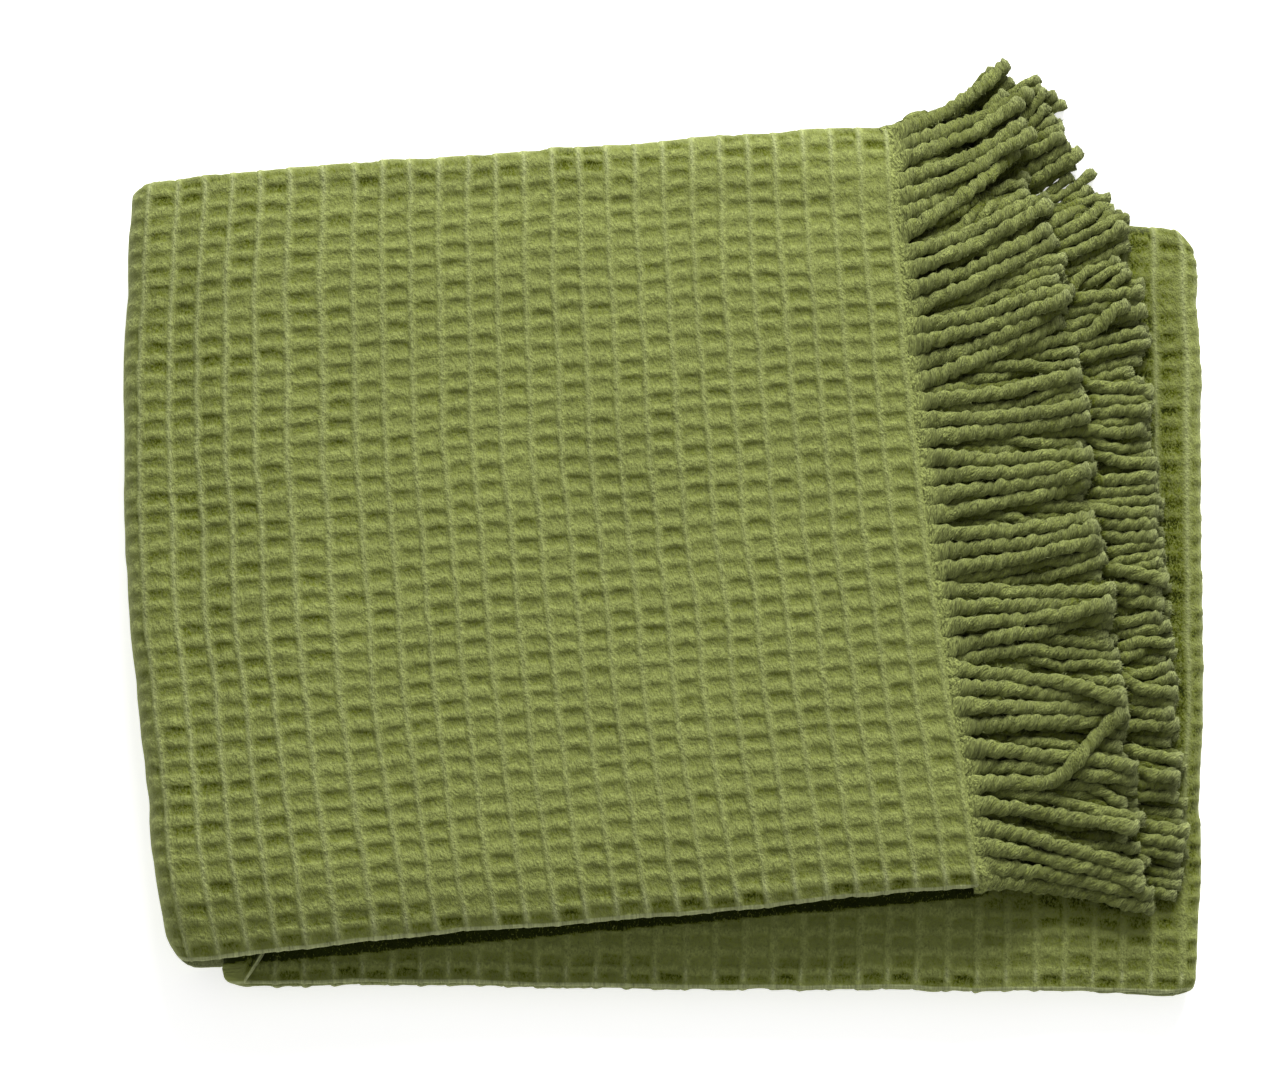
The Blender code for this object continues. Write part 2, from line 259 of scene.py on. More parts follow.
def left_of(x, y, start, end):
    """Distance of places to the left of the line from start to end."""
    along = (end[0] - start[0], end[1] - start[1])
    return (along[0] * (y - start[1]) - along[1] * (x - start[0])) / math.hypot(*along)


def crown(x, y):
    share = 1.0
    for start, start_side, end, end_side, keep, reach in RIMS:
        inside = left_of(x, y, line_end(start, start_side), line_end(end, end_side))
        share = share * (1.0 - (1.0 - keep) * (1.0 - np.clip(inside / reach, 0.0, 1.0)) ** 2)
    inside = left_of(x, y, line_end("right_fold", "front"), line_end("right_fold", "back"))
    pressed = smooth_step((inside - DIP_FROM) / DIP_SLOPE)
    pressed = pressed * (1.0 - smooth_step((inside - DIP_TO) / DIP_RISE))
    return share * (1.0 - DIP * pressed)


def behind_lower_panel(x, y):
    return left_of(x, y, line_end("outer_fold", "back"), line_end("right_fold", "back"))


def sag(x, y):
    return REST * smooth_step((behind_lower_panel(x, y) - BACK_BULGE) / SAG_RUN)


print("the pile's middle is", float(crown(0.0, 0.0)), "of its full height")

# %% [markdown]
# Thick cloth can't make a sharp corner: where two edges of the pile meet, it rounds itself. The
# corners could be cut off the mesh, but then the weave would end there. Instead the points near a
# corner move inwards, and the weave goes round with them.

# %% Round corners
CORNERS = (
    # two edges that meet, how far the cloth reaches beyond each line, the corner's radius, and
    # the height that it ends at
    ("outer_fold", "back", "outer_fold", "front", 18.4,
     "outer_fold", "front", "right_fold", "front", 2.4, 10.0, 99.0),
    ("outer_fold", "front", "right_fold", "front", 2.4,
     "right_fold", "front", "right_fold", "back", 8.9, 9.0, 99.0),
    ("right_fold", "front", "right_fold", "back", 8.9,
     "right_fold", "back", "outer_fold", "back", 2.4, 17.0, 99.0),
    ("upper_end", "back", "outer_fold", "back", 4.6,
     "outer_fold", "back", "outer_fold", "front", 20.0, 5.0, 99.0),
    ("inner_fold", "back", "inner_fold", "front", 9.0,
     "inner_fold", "front", "right_fold", "front", 5.0, 10.0, 26.0),
)
CORNER_CUT = 0.40               # 0.5 gives a corner of a quarter circle, and less a fuller one
CORNER_PAST = 1.2               # points outside a line by 0.2 of this radius move as well
CORNER_FADE = 3.0               # below its top height, a corner comes in over this much


def inside_edge(x, y, start, start_side, end, end_side, beyond):
    """Distance of places inside an edge of the pile, and the way inwards."""
    first, last = line_end(start, start_side), line_end(end, end_side)
    length = math.hypot(last[0] - first[0], last[1] - first[1])
    inwards = ((first[1] - last[1]) / length, (last[0] - first[0]) / length)
    return left_of(x, y, first, last) + beyond, inwards


def round_corners(x, y, z):
    """Places moved inwards near the pile's corners, so that a square corner becomes round."""
    for *edges, radius, top in CORNERS:
        one, way_one = inside_edge(x, y, *edges[:5])
        other, way_other = inside_edge(x, y, *edges[5:])
        near_one = np.clip(1.0 - one / radius, 0.0, CORNER_PAST)
        near_other = np.clip(1.0 - other / radius, 0.0, CORNER_PAST)
        reach = radius * smooth_step((top - z) / CORNER_FADE)
        move_one = reach * near_one * (1.0 - np.sqrt(1.0 - CORNER_CUT * near_other ** 2))
        move_other = reach * near_other * (1.0 - np.sqrt(1.0 - CORNER_CUT * near_one ** 2))
        x = x + way_one[0] * move_one + way_other[0] * move_other
        y = y + way_one[1] * move_one + way_other[1] * move_other
    return x, y


print("corners with a radius of", [corner[-2] for corner in CORNERS], "mm")

# %% [markdown]
# The last steps from the even pile to the real one: the upper panel's front edge hangs down a
# little, the whole pile is slightly thicker and thinner from place to place, and its edges and
# cells stray by parts of a millimetre. Without this, a fold looks like machined plastic.

# %% The settled pile
EDGE_DROOP = 0.9                # the upper panel's front edge hangs down by this
EDGE_DROOP_REACH = 6.0
DROOP_FROM = 27.0               # above this height the cloth belongs to the upper panel
DROOP_RANGE = 7.0
DRIFT = 0.9                     # how far the cloth strays sideways, and over what distance
DRIFT_WAVE = 34.0
CELL_DRIFT = 0.42               # and how far its single cells do
CELL_DRIFT_WAVE = 8.5
SWELL = 0.02                    # how much thicker or thinner the pile is than its formula says
SWELL_WAVE = 58.0


def droop(x, y, z):
    """How far the upper panel's front edge hangs down."""
    inside = left_of(x, y, line_end("outer_fold", "front"), line_end("upper_end", "front"))
    near = np.clip(1.0 - inside / EDGE_DROOP_REACH, 0.0, CORNER_PAST)
    return EDGE_DROOP * near ** 2 * smooth_step((z - DROOP_FROM) / DROOP_RANGE)


def settle(x, y, z):
    """Points of the evenly stacked pile, moved to where they lie in the part's own frame."""
    swell = 1.0 + SWELL * noise(x / SWELL_WAVE, y / SWELL_WAVE, 5)
    height = crown(x, y) * swell * (z - sag(x, y)) - droop(x, y, z)
    height = np.maximum(height, 0.0)
    x, y = round_corners(x, y, z)
    drift_x = DRIFT * noise(x / DRIFT_WAVE, y / DRIFT_WAVE, 1)
    drift_y = DRIFT * noise(x / DRIFT_WAVE, y / DRIFT_WAVE, 2)
    drift_x = drift_x + CELL_DRIFT * noise(x / CELL_DRIFT_WAVE, y / CELL_DRIFT_WAVE, 11)
    drift_y = drift_y + CELL_DRIFT * noise(x / CELL_DRIFT_WAVE, y / CELL_DRIFT_WAVE, 12)
    return np.stack([x + drift_x - CENTRE[0], y + drift_y - CENTRE[1], height], axis=-1)


print("a point 20 mm up in the middle comes to", settle(0.0, 0.0, 20.0).round(2))

# %% [markdown]
# Waffle weave, or honeycomb weave, is one plain cloth in which long floating threads pull the
# weave into cells with raised walls. The walls that run along the throw are broad and puffy, and
# those that run across it are narrow. A bump map would only paint this, so each cell is modelled:
# how deep the cloth lies is a formula of the place in the weave. No two cells of soft cotton are
# alike, so each pit has its own depth and lies a little out of its place. Between two narrow walls
# a pit bends to the back like a low arch, because its threads are held only at the walls.

# %% The cells of the weave
CELL_LENGTH = 11.94             # along the throw, from one narrow wall to the next
FIRST_WALL = 3.4                # from the fringed end to the first narrow wall
ROWS = 40.0                     # cells in a quarter of the throw's width
STRIP_WIDTH = 317.6             # of the four layers, from fold to fold
CELL_WIDTH = STRIP_WIDTH / ROWS
LEAD = 0.18                     # the front edge cuts off this much of the first cell
ALONG_CELL = (0.08, 0.20, 0.78, 0.92)       # where a pit falls, and where it rises again,
ACROSS_CELL = (0.09, 0.27, 0.65, 0.82)      # in shares of its cell
ARCH = 0.17                     # in its middle a pit lies further to the back by this
UNEVEN_PITS = 0.50              # a pit is less deep by up to this share
SHIFTED_PITS = 0.20             # a pit lies out of its place by this, in cells
SHIFTED_ALONG = 0.6             # and along the throw by this share of it
TORN_EDGE = 0.09                # and its edge wavers by this
TORN_WAVES = (7.0, 5.0)         # so often in each cell, along it and across it


def pit_between(share, edges):
    """1 in a cell's pit and 0 on its walls. The pit falls from the first edge to the second one,
    and rises from the third to the fourth."""
    falls, deep, rises, wall = edges
    return (smooth_step((share - falls) / (deep - falls))
            * (1.0 - smooth_step((share - rises) / (wall - rises))))


def woven_cells(column, row, face, fringed):
    """What the relief and the colours need to know of each point's cell. On the back of the
    cloth, the walls stand where its face has pits."""
    shift = np.where(face > 0, 0.0, 0.5)
    cell_x = np.floor(column + shift)
    cell_y = np.floor(row + LEAD + shift)
    along = column + shift - cell_x
    across = row + LEAD + shift - cell_y
    cell = (cell_x.astype(np.int64), cell_y.astype(np.int64))
    torn = TORN_EDGE * noise(column * TORN_WAVES[0], row * TORN_WAVES[1], 14)
    moved = SHIFTED_PITS * (hashed(*cell, 13) - 0.5) + torn
    arched = across + moved + ARCH * (2.0 * along - 1.0) ** 2
    moved = SHIFTED_ALONG * SHIFTED_PITS * (hashed(*cell, 15) - 0.5)
    narrow = pit_between(np.clip(along + moved, 0.0, 1.0), ALONG_CELL)
    if fringed:
        narrow = np.where(column < 0.0, 0.0, narrow)
    return SimpleNamespace(
        column=column, row=row, along=along, arched=arched, narrow=narrow,
        broad=pit_between(arched, ACROSS_CELL), depth=1.0 - UNEVEN_PITS * hashed(*cell, 3))


print("a cell is", CELL_LENGTH, "by", round(CELL_WIDTH, 2), "mm")

# %% [markdown]
# On top of its pits the cloth has finer forms. The broad walls swell between the narrow ones. A
# narrow wall is a single thick thread on edge, so it is a thin crest, and beside it another
# thread is drawn in and leaves a crease. At the fringed end the cloth thins, where its threads
# part into cords. All of this is added up as a height above the smooth cloth.

# %% The weave's relief
WALL_RISE = 0.25                # walls stand above the cloth's face by this
PIT_DEPTH = 0.34                # and pits lie below it by this
PILLOW = 0.22                   # the broad walls swell between the narrow ones by this
PUFF_UNEVEN = 0.6               # a swelling is larger or smaller by this share,
PUFF_WAVES = 1.3                # so often in each cell
RIDGE = 0.26                    # the narrow walls stand higher by this
RIDGE_WIDTH = 0.075
CREASE = 0.34                   # a thread is drawn in beside each narrow wall
CREASE_AT = 0.15
CREASE_WIDTH = 0.05
END_DIP = 0.75                  # the cloth thins at its fringed end, where its threads part


def threads(cells):
    """The crest of the narrow walls, and the crease beside each, 0 to 1."""
    from_wall = np.minimum(cells.along, 1.0 - cells.along) / RIDGE_WIDTH
    return np.exp(-from_wall ** 2), np.exp(-((cells.along - CREASE_AT) / CREASE_WIDTH) ** 2)


def relief(cells, fringed):
    """How far the face of the cloth stands out, in mm."""
    hollow = cells.narrow * cells.broad * cells.depth
    puff = 1.0 + PUFF_UNEVEN * noise(cells.column * PUFF_WAVES, cells.row * PUFF_WAVES, 4)
    pillow = PILLOW * puff * np.sin(np.pi * cells.along) * (1.0 - cells.broad)
    parting = 0.0
    if fringed:
        pillow = np.where(cells.column < 0.0, 0.0, pillow)
        parting = END_DIP * smooth_step(-cells.column * CELL_LENGTH / FIRST_WALL)
    crest, crease = threads(cells)
    return (WALL_RISE - (WALL_RISE + PIT_DEPTH) * hollow + pillow + RIDGE * crest
            - CREASE * crease - parting)


print("a narrow wall stands", round(WALL_RISE + PIT_DEPTH + RIDGE, 2), "mm above the deepest pit")

# %% [markdown]
# Dyed cotton looks deeper in colour where light bounces from fibre to fibre, and paler where it
# is worn. The renderer could find that out with very many bounces in every single fibre. It is
# cheaper and steadier to give each point two values: how much shade is painted into its colour,
# most of all in a pit, as a painted shadow below its back edge, and in a crease, and how pale it
# is, from wear and a painted highlight on the crests. Near a fold and at the pile's edges the
# cloth is pulled open, so more shade is painted into the pits there, and the crests are paler.

# %% Shade painted into the pits, and pale crests
PIT_SHADE = 0.25                # share of painted shade in a pit,
BACK_SHADE = 0.16               # and of painted shadow below its back edge,
BACK_AT = 0.70                  # in shares of the cell across the throw
BACK_WIDTH = 0.15
CREASE_SHADE = 0.24             # and of painted shade in a crease
OPEN_SHADE = 0.8                # pits that are pulled open get more painted shade by this share,
OPEN_CREST = 1.3                # and the crests between them paler, from wear and painted highlight, by this share,
OPEN_COLUMNS = 6.0              # within so many cells of a fold across the throw,
OPEN_ROWS = 1.3                 # so many of the fold at the back,
FRONT_ROW = 0.6                 # and in the first row at the front edge,
EDGE_OPEN = 1.9                 # at both of which the pull is stronger by this factor
PALE_CREST = 0.16               # the crests of the narrow walls are paler by this share, from wear and painted highlight


def shades(cells, fold_column):
    """Shade painted into each point's colour, and a crest's paleness from wear and painted
    highlight.
    """
    hollow = cells.narrow * cells.broad * cells.depth
    back = cells.narrow * cells.depth * np.exp(-((cells.arched - BACK_AT) / BACK_WIDTH) ** 2)
    at_edges = (np.exp(-((cells.row - ROWS) / OPEN_ROWS) ** 2)
                + np.exp(-((cells.row - FRONT_ROW) / FRONT_ROW) ** 2))
    opened = np.maximum(np.exp(-((cells.column - fold_column) / OPEN_COLUMNS) ** 2),
                        EDGE_OPEN * at_edges)
    crest, crease = threads(cells)
    deep = np.maximum(PIT_SHADE * (1.0 + OPEN_SHADE * opened) * hollow + BACK_SHADE * back,
                      CREASE_SHADE * crease * cells.depth)
    return deep, PALE_CREST * crest * (1.0 + OPEN_CREST * opened)


print("a pit near a fold has up to", round(PIT_SHADE * (1.0 + OPEN_SHADE) + BACK_SHADE, 2), "deep")

# %% [markdown]
# The cut through the strip is one closed outline, which runs along the cloth's face through all
# four layers, round the woven edge, and home along its back. It is put together from straight
# runs of points on the layers, half circles at the folds between them, and the two woven edges,
# which are as thick and round as the cloth. An extruded block would show none of these.

# %% Points round the layers
LAYERS = (
    # height in layer pitches, whether its front edge is tucked back
    (1.5, 0.0),
    (-1.5, 1.0),
    (-0.5, 0.8),
    (0.5, 0.6),
)
FIELDS = ("tucked", "share", "past", "height", "past_normal", "height_normal",
          "row", "face", "detail", "rim")
SELVEDGE_TURNS = (0.25 * math.pi, 0.5 * math.pi, 0.75 * math.pi)     # points on a round edge
PALE_RIM = 0.8                  # the edges and folds are paler as well, from wear and painted highlight,
PALE_BACK = 0.25                # the outermost fold at the back by less


def layer_points(number, rows, start_row, face, detail):
    """Points on one side of a layer, from the front edge to the back one or the other way."""
    height, tucked = LAYERS[number]
    heading = 1.0 if number % 2 == 0 else -1.0
    points = []
    for row in (rows if heading > 0 else rows[::-1]):
        travelled = row if heading > 0 else ROWS - row
        at_edge = 1.0 if row == 0.0 and number == 0 else 0.0
        points.append((tucked, row / ROWS, 0.0, height * LAYER_PITCH, 0.0, face * heading,
                       start_row + travelled, face, detail, at_edge))
    return points


def fold_points(number, steps, start_row, face, detail):
    """Points round the fold that leads from a layer to the next one."""
    height, following = LAYERS[number][0], LAYERS[number + 1][0]
    heading = 1.0 if number % 2 == 0 else -1.0
    middle = 0.5 * (height + following) * LAYER_PITCH
    arm = abs(0.5 * (height - following)) * LAYER_PITCH
    up = math.copysign(1.0, height - following)
    # the folds are paler from wear and painted highlight, the outermost at the back less so
    wear_and_highlight = PALE_BACK if number == 0 else 1.0
    points = []
    for step in range(1, steps):
        turn = math.pi * step / steps
        out = heading * math.sin(turn)
        rise = up * math.cos(turn)
        row = start_row + arm * turn / CELL_WIDTH
        points.append((LAYERS[number + 1][1], 1.0 if heading > 0 else 0.0, out * arm,
                       middle + rise * arm, face * up * heading * out,
                       face * up * heading * rise, row, face, detail, wear_and_highlight * math.sin(turn)))
    return points


def selvedge_points(number, row, detail):
    """Points round the woven edge of a layer, from its face to its back."""
    height, tucked = LAYERS[number]
    heading = 1.0 if number % 2 == 0 else -1.0
    points = []
    for turn in SELVEDGE_TURNS:
        fading = detail * (1.0 - turn / math.pi)
        points.append((tucked, 0.0, 0.0, height * LAYER_PITCH, -math.sin(turn),
                       heading * math.cos(turn), row, 1.0, fading, 1.0))
    return points


print("layers lie at", [round(height * LAYER_PITCH, 1) for height, tucked in LAYERS], "mm")

# %% [markdown]
# A mesh with the full relief everywhere would be far too heavy, and most of the cloth is hidden.
# So the outline has many points only on the faces that show. Within a cell they aren't evenly
# spaced: the walls are narrow, so the points crowd there.

# %% The outline of the four layers
COARSE = np.array((0.0, 0.06, 0.14, 0.38, 0.62, 0.86, 0.93, 1.0)) * ROWS     # on hidden faces
FINE_OFFSETS = (0.0, 0.14, 0.26, 0.38, 0.52, 0.63, 0.72, 0.81)              # in each cell
MEDIUM_OFFSETS = (0.0, 0.3, 0.6, 0.76)
NEAR_END = 0.06                 # an offset as near as this to the end of a run is left out
HIDDEN_FOLD_STEPS = (6, 4)      # round the second and the third fold
BACK_STEPS = 4                  # and round all of them on the cloth's back


def repeated(offsets, first, last, lead=0.0):
    """The offsets in each whole cell between first and last, with both ends."""
    cells = np.arange(math.floor(first), math.ceil(last) + 1)
    places = (cells[:, None] + np.array(offsets)[None, :]).ravel() - lead
    inside = places[(places > first + NEAR_END) & (places < last - NEAR_END)]
    return np.concatenate([[first], inside, [last]])


def start_rows():
    """The row of the weave at which each layer starts."""
    rows = [0.0]
    for first, second in zip(LAYERS, LAYERS[1:]):
        arm = abs(0.5 * (first[0] - second[0])) * LAYER_PITCH
        rows.append(rows[-1] + ROWS + math.pi * arm / CELL_WIDTH)
    return rows


def outline(layer_rows, back_fold_steps):
    """The strip's closed outline: out along the cloth's face, and home along its back."""
    starts = start_rows()
    fold_steps = (back_fold_steps, *HIDDEN_FOLD_STEPS)
    face_side, back_side = [], []
    for number in range(len(LAYERS)):
        rows, detail = layer_rows.get(number, (COARSE, 0.0))
        face_side += layer_points(number, rows, starts[number], 1.0, detail)
        back_side += layer_points(number, COARSE, starts[number], -1.0, 0.0)
        if number + 1 < len(LAYERS):
            at = starts[number] + ROWS
            shows = 1.0 if number < 2 else 0.0
            face_side += fold_points(number, fold_steps[number], at, 1.0, shows)
            back_side += fold_points(number, BACK_STEPS, at, -1.0, 0.0)
    last = len(LAYERS) - 1
    points = face_side + selvedge_points(last, starts[last] + ROWS, 0.0) + back_side[::-1]
    points += selvedge_points(0, 0.0, layer_rows.get(0, (0, 0.0))[1])[::-1]
    ring = {name: np.array(values)[None, :] for name, values in zip(FIELDS, zip(*points))}
    return ring, len(face_side), len(back_side)


def blended_rows(fine_to):
    """Fine rows near the front edge, where they show, and medium ones behind."""
    near = repeated(FINE_OFFSETS, 0.0, fine_to, LEAD)
    return np.concatenate([near, repeated(MEDIUM_OFFSETS, fine_to, ROWS, LEAD)[1:]])


print("the layers start at rows", [round(row, 1) for row in start_rows()])

# %% [markdown]
# A mesh in Blender is a list of points and a list of faces, which name their points by number.
# Further values at each point are attributes, and a material can read them by name. At its cut
# ends a length of the cloth is closed by triangles between its face and its back.

# %% From arrays to a mesh
def mesh_object(name, points, faces):
    """A smooth mesh object from arrays of points in mm and of corner numbers."""
    mesh = bpy.data.meshes.new(name)
    mesh.from_pydata((points.reshape(-1, 3) * MM).tolist(), [], faces)
    mesh.update()
    mesh.shade_smooth()
    made = bpy.data.objects.new(name, mesh)
    bpy.context.scene.collection.objects.link(made)
    return made


def add_attribute(made, name, kind, values):
    attribute = made.data.attributes.new(name, kind, "POINT")
    field = "vector" if kind == "FLOAT_VECTOR" else "value"
    attribute.data.foreach_set(field, np.asarray(values, np.float32).ravel())


def cap_faces(ring, face_count, back_count, base, flip):
    """Triangles between the face and the back of the cloth at a cut end."""
    near = list(range(face_count))
    first_far = face_count + len(SELVEDGE_TURNS)
    far = list(range(first_far, first_far + back_count))[::-1]
    rows = ring["row"][0]
    faces, i, j = [], 0, 0
    while i + 1 < len(near) or j + 1 < len(far):
        step_near = j + 1 == len(far) or (
            i + 1 < len(near) and rows[near[i + 1]] <= rows[far[j + 1]])
        third = near[i + 1] if step_near else far[j + 1]
        corners = (base + near[i], base + third, base + far[j])
        faces.append(corners[::-1] if flip else corners)
        i, j = (i + 1, j) if step_near else (i, j + 1)
    return faces


print("a plain cut end is closed by", len(cap_faces(*outline({}, 4), 0, False)), "faces")

# %% [markdown]
# Along the throw the mesh has columns of points, as many in each cell as its relief needs. They
# are counted in cells from a narrow wall, so that each wall and each crease has points of its
# own. Evenly spaced columns would miss the thin crests here and there.

# %% Columns along the throw
COLUMN_OFFSETS = (0.0, 0.09, 0.14, 0.21, 0.42, 0.62, 0.78, 0.90)    # in each cell that shows
PLAIN_OFFSETS = (0.0, 0.09, 0.14, 0.22, 0.42, 0.62, 0.78, 0.91)
HALVES = (0.0, 0.5)             # and in each hidden cell


def columns(first, last, offsets, anchor):
    """Places along the path for the offsets of each cell, and the column of each."""
    start, end = np.interp((first, last), fine_places, woven)
    numbers = repeated(offsets, (start - anchor) / CELL_LENGTH, (end - anchor) / CELL_LENGTH)
    return np.interp(numbers * CELL_LENGTH + anchor, woven, fine_places), numbers


def joined(*runs):
    """Runs of places and columns, one after the other, without the doubled ends."""
    places = np.concatenate([runs[0][0]] + [run[0][1:] for run in runs[1:]])
    numbers = np.concatenate([runs[0][1]] + [run[1][1:] for run in runs[1:]])
    return places, numbers


print("the upper panel has", len(columns(UPPER_END, WRAP, COLUMN_OFFSETS, FIRST_WALL)[1]), "columns")

# %% [markdown]
# A length of the throw is one mesh: its outline at every column, and quads between them. Numpy
# works out all its points at once, which takes a second. The outside of the two wide folds is the
# most worn place of a folded throw, so its colour is paler, from wear and a painted highlight, and
# less shade is painted into its pits.

# %% One length of the cloth
FOLD_WEAR_AND_HIGHLIGHT = 0.80                # the outside of a wide fold is paler by this, from wear and painted highlight,
FOLD_PALE_WIDTH = 0.17               # over this share of their half turn
FAR_OFF = -99.0                 # the column of a fold that is too far off to pull any pit open


def make_length(name, run, shape, fold_column=FAR_OFF, fringed=False):
    """One length of the folded cloth as a mesh with its relief. Near a fold's column, where the fold
    pulls the pits open, more shade is painted into them."""
    places, numbers = run
    ring, face_count, back_count = shape
    column = numbers[:, None]
    cells = woven_cells(column, ring["row"], ring["face"], fringed)
    raised = ring["detail"] * relief(cells, fringed)
    deep, crest = shades(cells, fold_column)
    points = settle(*place(stations(places), ring, 0.5 * THICKNESS + raised))
    count, width = raised.shape
    index = np.arange(count * width).reshape(count, width)
    turned = np.roll(index, -1, axis=1)
    quads = np.stack([index[:-1], turned[:-1], turned[1:], index[1:]], axis=-1)
    faces = quads.reshape(-1, 4).tolist()
    faces += cap_faces(ring, face_count, back_count, 0, False)
    faces += cap_faces(ring, face_count, back_count, (count - 1) * width, True)
    made = mesh_object(name, points, faces)
    turned = np.minimum(np.abs(places - WRAP - 0.5), np.abs(places - RIGHT_FOLD - 0.5))[:, None]
    folded = FOLD_WEAR_AND_HIGHLIGHT * np.exp(-(turned / FOLD_PALE_WIDTH) ** 2)
    # shade painted into the pits, none on the outside of a wide fold
    add_attribute(made, "deep", "FLOAT", ring["detail"] * deep * (1.0 - folded))
    # the pale share of crests, rims and wide folds, from wear and painted highlight
    wear_and_highlight = np.maximum(np.maximum(ring["detail"] * crest, PALE_RIM * ring["rim"]), folded)
    add_attribute(made, "cut", "FLOAT", wear_and_highlight)
    weave = np.stack(np.broadcast_arrays(column * CELL_LENGTH, ring["row"] * CELL_WIDTH,
                                         ring["face"] + 0.0 * column), axis=-1)
    add_attribute(made, "weave", "FLOAT_VECTOR", weave)
    print(name, "has", sum(len(face) - 2 for face in faces), "triangles")
    return made


print("a wide fold is worn paler by", FOLD_WEAR_AND_HIGHLIGHT)

# %% [markdown]
# The throw is made in four lengths. The seams between them lie on the underside and inside the
# pile, where nobody sees them, and each length has fine columns and rows only where it shows.

# %% The cloth's meshes
HIDDEN_FROM = 1.62              # the wide fold turns under here
LOWER_START = 2.0               # a narrow wall stands this far before the lower panel begins
CORNER_COLUMNS = 13             # round the second fold, whose corner shows
CORNER_ROWS = 6.0               # with so many rows of cells
FRONT_ROWS = 8.0                # of the lower panel show in front of the upper one
PAST_WRAP = 0.8                 # the wide fold pulls the most so many cells past its start


def make_cloth():
    """The folded throw, in four lengths."""
    all_fine = repeated(FINE_OFFSETS, 0.0, ROWS, LEAD)
    all_medium = repeated(MEDIUM_OFFSETS, 0.0, ROWS, LEAD)
    upper = joined(columns(UPPER_END, HIDDEN_FROM, COLUMN_OFFSETS, FIRST_WALL),
                   columns(HIDDEN_FROM, BASE, MEDIUM_OFFSETS, FIRST_WALL))
    base = columns(BASE, RIGHT_FOLD, MEDIUM_OFFSETS, FIRST_WALL)
    anchor = np.interp(LOWER_PANEL, fine_places, woven) - LOWER_START
    corner = np.linspace(INNER_FOLD, DRAWN_BACK, CORNER_COLUMNS)
    corner_columns = (np.interp(corner, fine_places, woven) - anchor) / CELL_LENGTH
    lower = joined(columns(RIGHT_FOLD, LOWER_PANEL, COLUMN_OFFSETS, anchor),
                   columns(LOWER_PANEL, INNER_FOLD, PLAIN_OFFSETS, anchor),
                   (corner, corner_columns),
                   columns(DRAWN_BACK, SECOND, HALVES, anchor))
    second = columns(SECOND, LOWER_END, HALVES, anchor)
    corner_rows = np.concatenate([repeated(MEDIUM_OFFSETS, 0.0, CORNER_ROWS), COARSE[3:]])
    wide_fold = (np.interp(WRAP, fine_places, woven) - FIRST_WALL) / CELL_LENGTH + PAST_WRAP
    return [
        make_length("throw_upper", upper, outline({0: (all_fine, 1.0)}, back_fold_steps=12),
                    fold_column=wide_fold, fringed=True),
        make_length("throw_base", base, outline({0: (all_medium, 1.0)}, back_fold_steps=8)),
        make_length("throw_lower", lower, outline(
            {0: (blended_rows(FRONT_ROWS), 1.0), 1: (corner_rows, 0.6)}, back_fold_steps=10),
                    fold_column=0.0),
        make_length("throw_second", second, outline({}, back_fold_steps=6)),
    ]


cloth = make_cloth()

# %% [markdown]
# At both ends of the throw the weaver left long warp threads, and twisted them in pairs into
# cords. A cord is two plies laid round each other, and it holds its twist because each ply was
# over-twisted the other way. Here each end has four rows of cords, one from each layer of the
# folded strip. First comes where each cord starts, a few millimetres inside its layer's end.

# %% Where the cords start
CORD_ROWS = (
    # line, layer, cords, radius in mm, from the lowest row to the uppermost
    ("lower_end", 0, 36, 2.3),
    ("lower_end", 3, 36, 2.3),
    ("lower_end", 2, 36, 2.4),
    ("lower_end", 1, 37, 2.7),
    ("upper_end", 1, 36, 2.3),
    ("upper_end", 2, 36, 2.3),
    ("upper_end", 3, 37, 2.5),
    ("upper_end", 0, 42, 2.9),
)
FIRST_UPPER = 4                 # from this row on, the cords belong to the upper end
END_FOLD = {"lower_end": "inner_fold", "upper_end": "outer_fold"}
ROOT_INSIDE = 4.0               # a cord's first point lies this far inside the cloth
END_WIDTH = 317.0               # of the folded strip, at its upper end
END_ROWS = (0.35, ROWS - 0.3)   # the outermost cords of the upper layer, in rows of the weave
TUCK_MARGIN = 2.0               # where a layer is tucked back, no cord starts nearer than this


def past_end(name, distance):
    """The line beyond a fringed end, at a distance from it."""
    line = np.array(LINES[name])
    along = line[2:4] - line[:2]
    right = np.array((along[1], -along[0])) / np.hypot(*along)
    line[:4] += np.tile(right * distance, 2)
    return line[None, :]


def on_end(name, layer, shares, distance):
    """Points on the middle of a layer, at a distance beyond its fringed end."""
    height, tucked = LAYERS[layer]
    station = (past_end(name, distance), np.array([FOLDS[END_FOLD[name]]]), np.zeros((1, 1)))
    ring = middle_of_layer(shares, height * LAYER_PITCH, tucked)
    return settle(*place(station, ring, 0.0))[0]


def cord_shares(name, layer, count):
    """Shares of the width at which a row's cords start: one in each row of the weave on the
    uppermost layer, and evenly spaced on the others."""
    tucked = LAYERS[layer][1]
    if count > ROWS:
        return np.concatenate([[END_ROWS[0]], np.arange(1.0, ROWS), [END_ROWS[1]]]) / ROWS
    shares = (np.arange(count) + 0.5) / count
    return shares[shares * END_WIDTH > tucked * LINES[name][5] + TUCK_MARGIN]


print("the rows start with", [len(cord_shares(*row[:3])) for row in CORD_ROWS], "cords")

# %% [markdown]
# Left alone, a cord would go square out of the cloth, and then to where a hand brushed it: all
# together the cords fan out as in the picture, and neighbours cling together in bunches. Each
# could be drawn by hand as a curve, but there are 291 of them. So the fan is a short table, and
# chance does the rest, with a fixed seed. One cord of the upper row has gone astray and crosses
# the others, which tells the eye that nobody laid them in order.

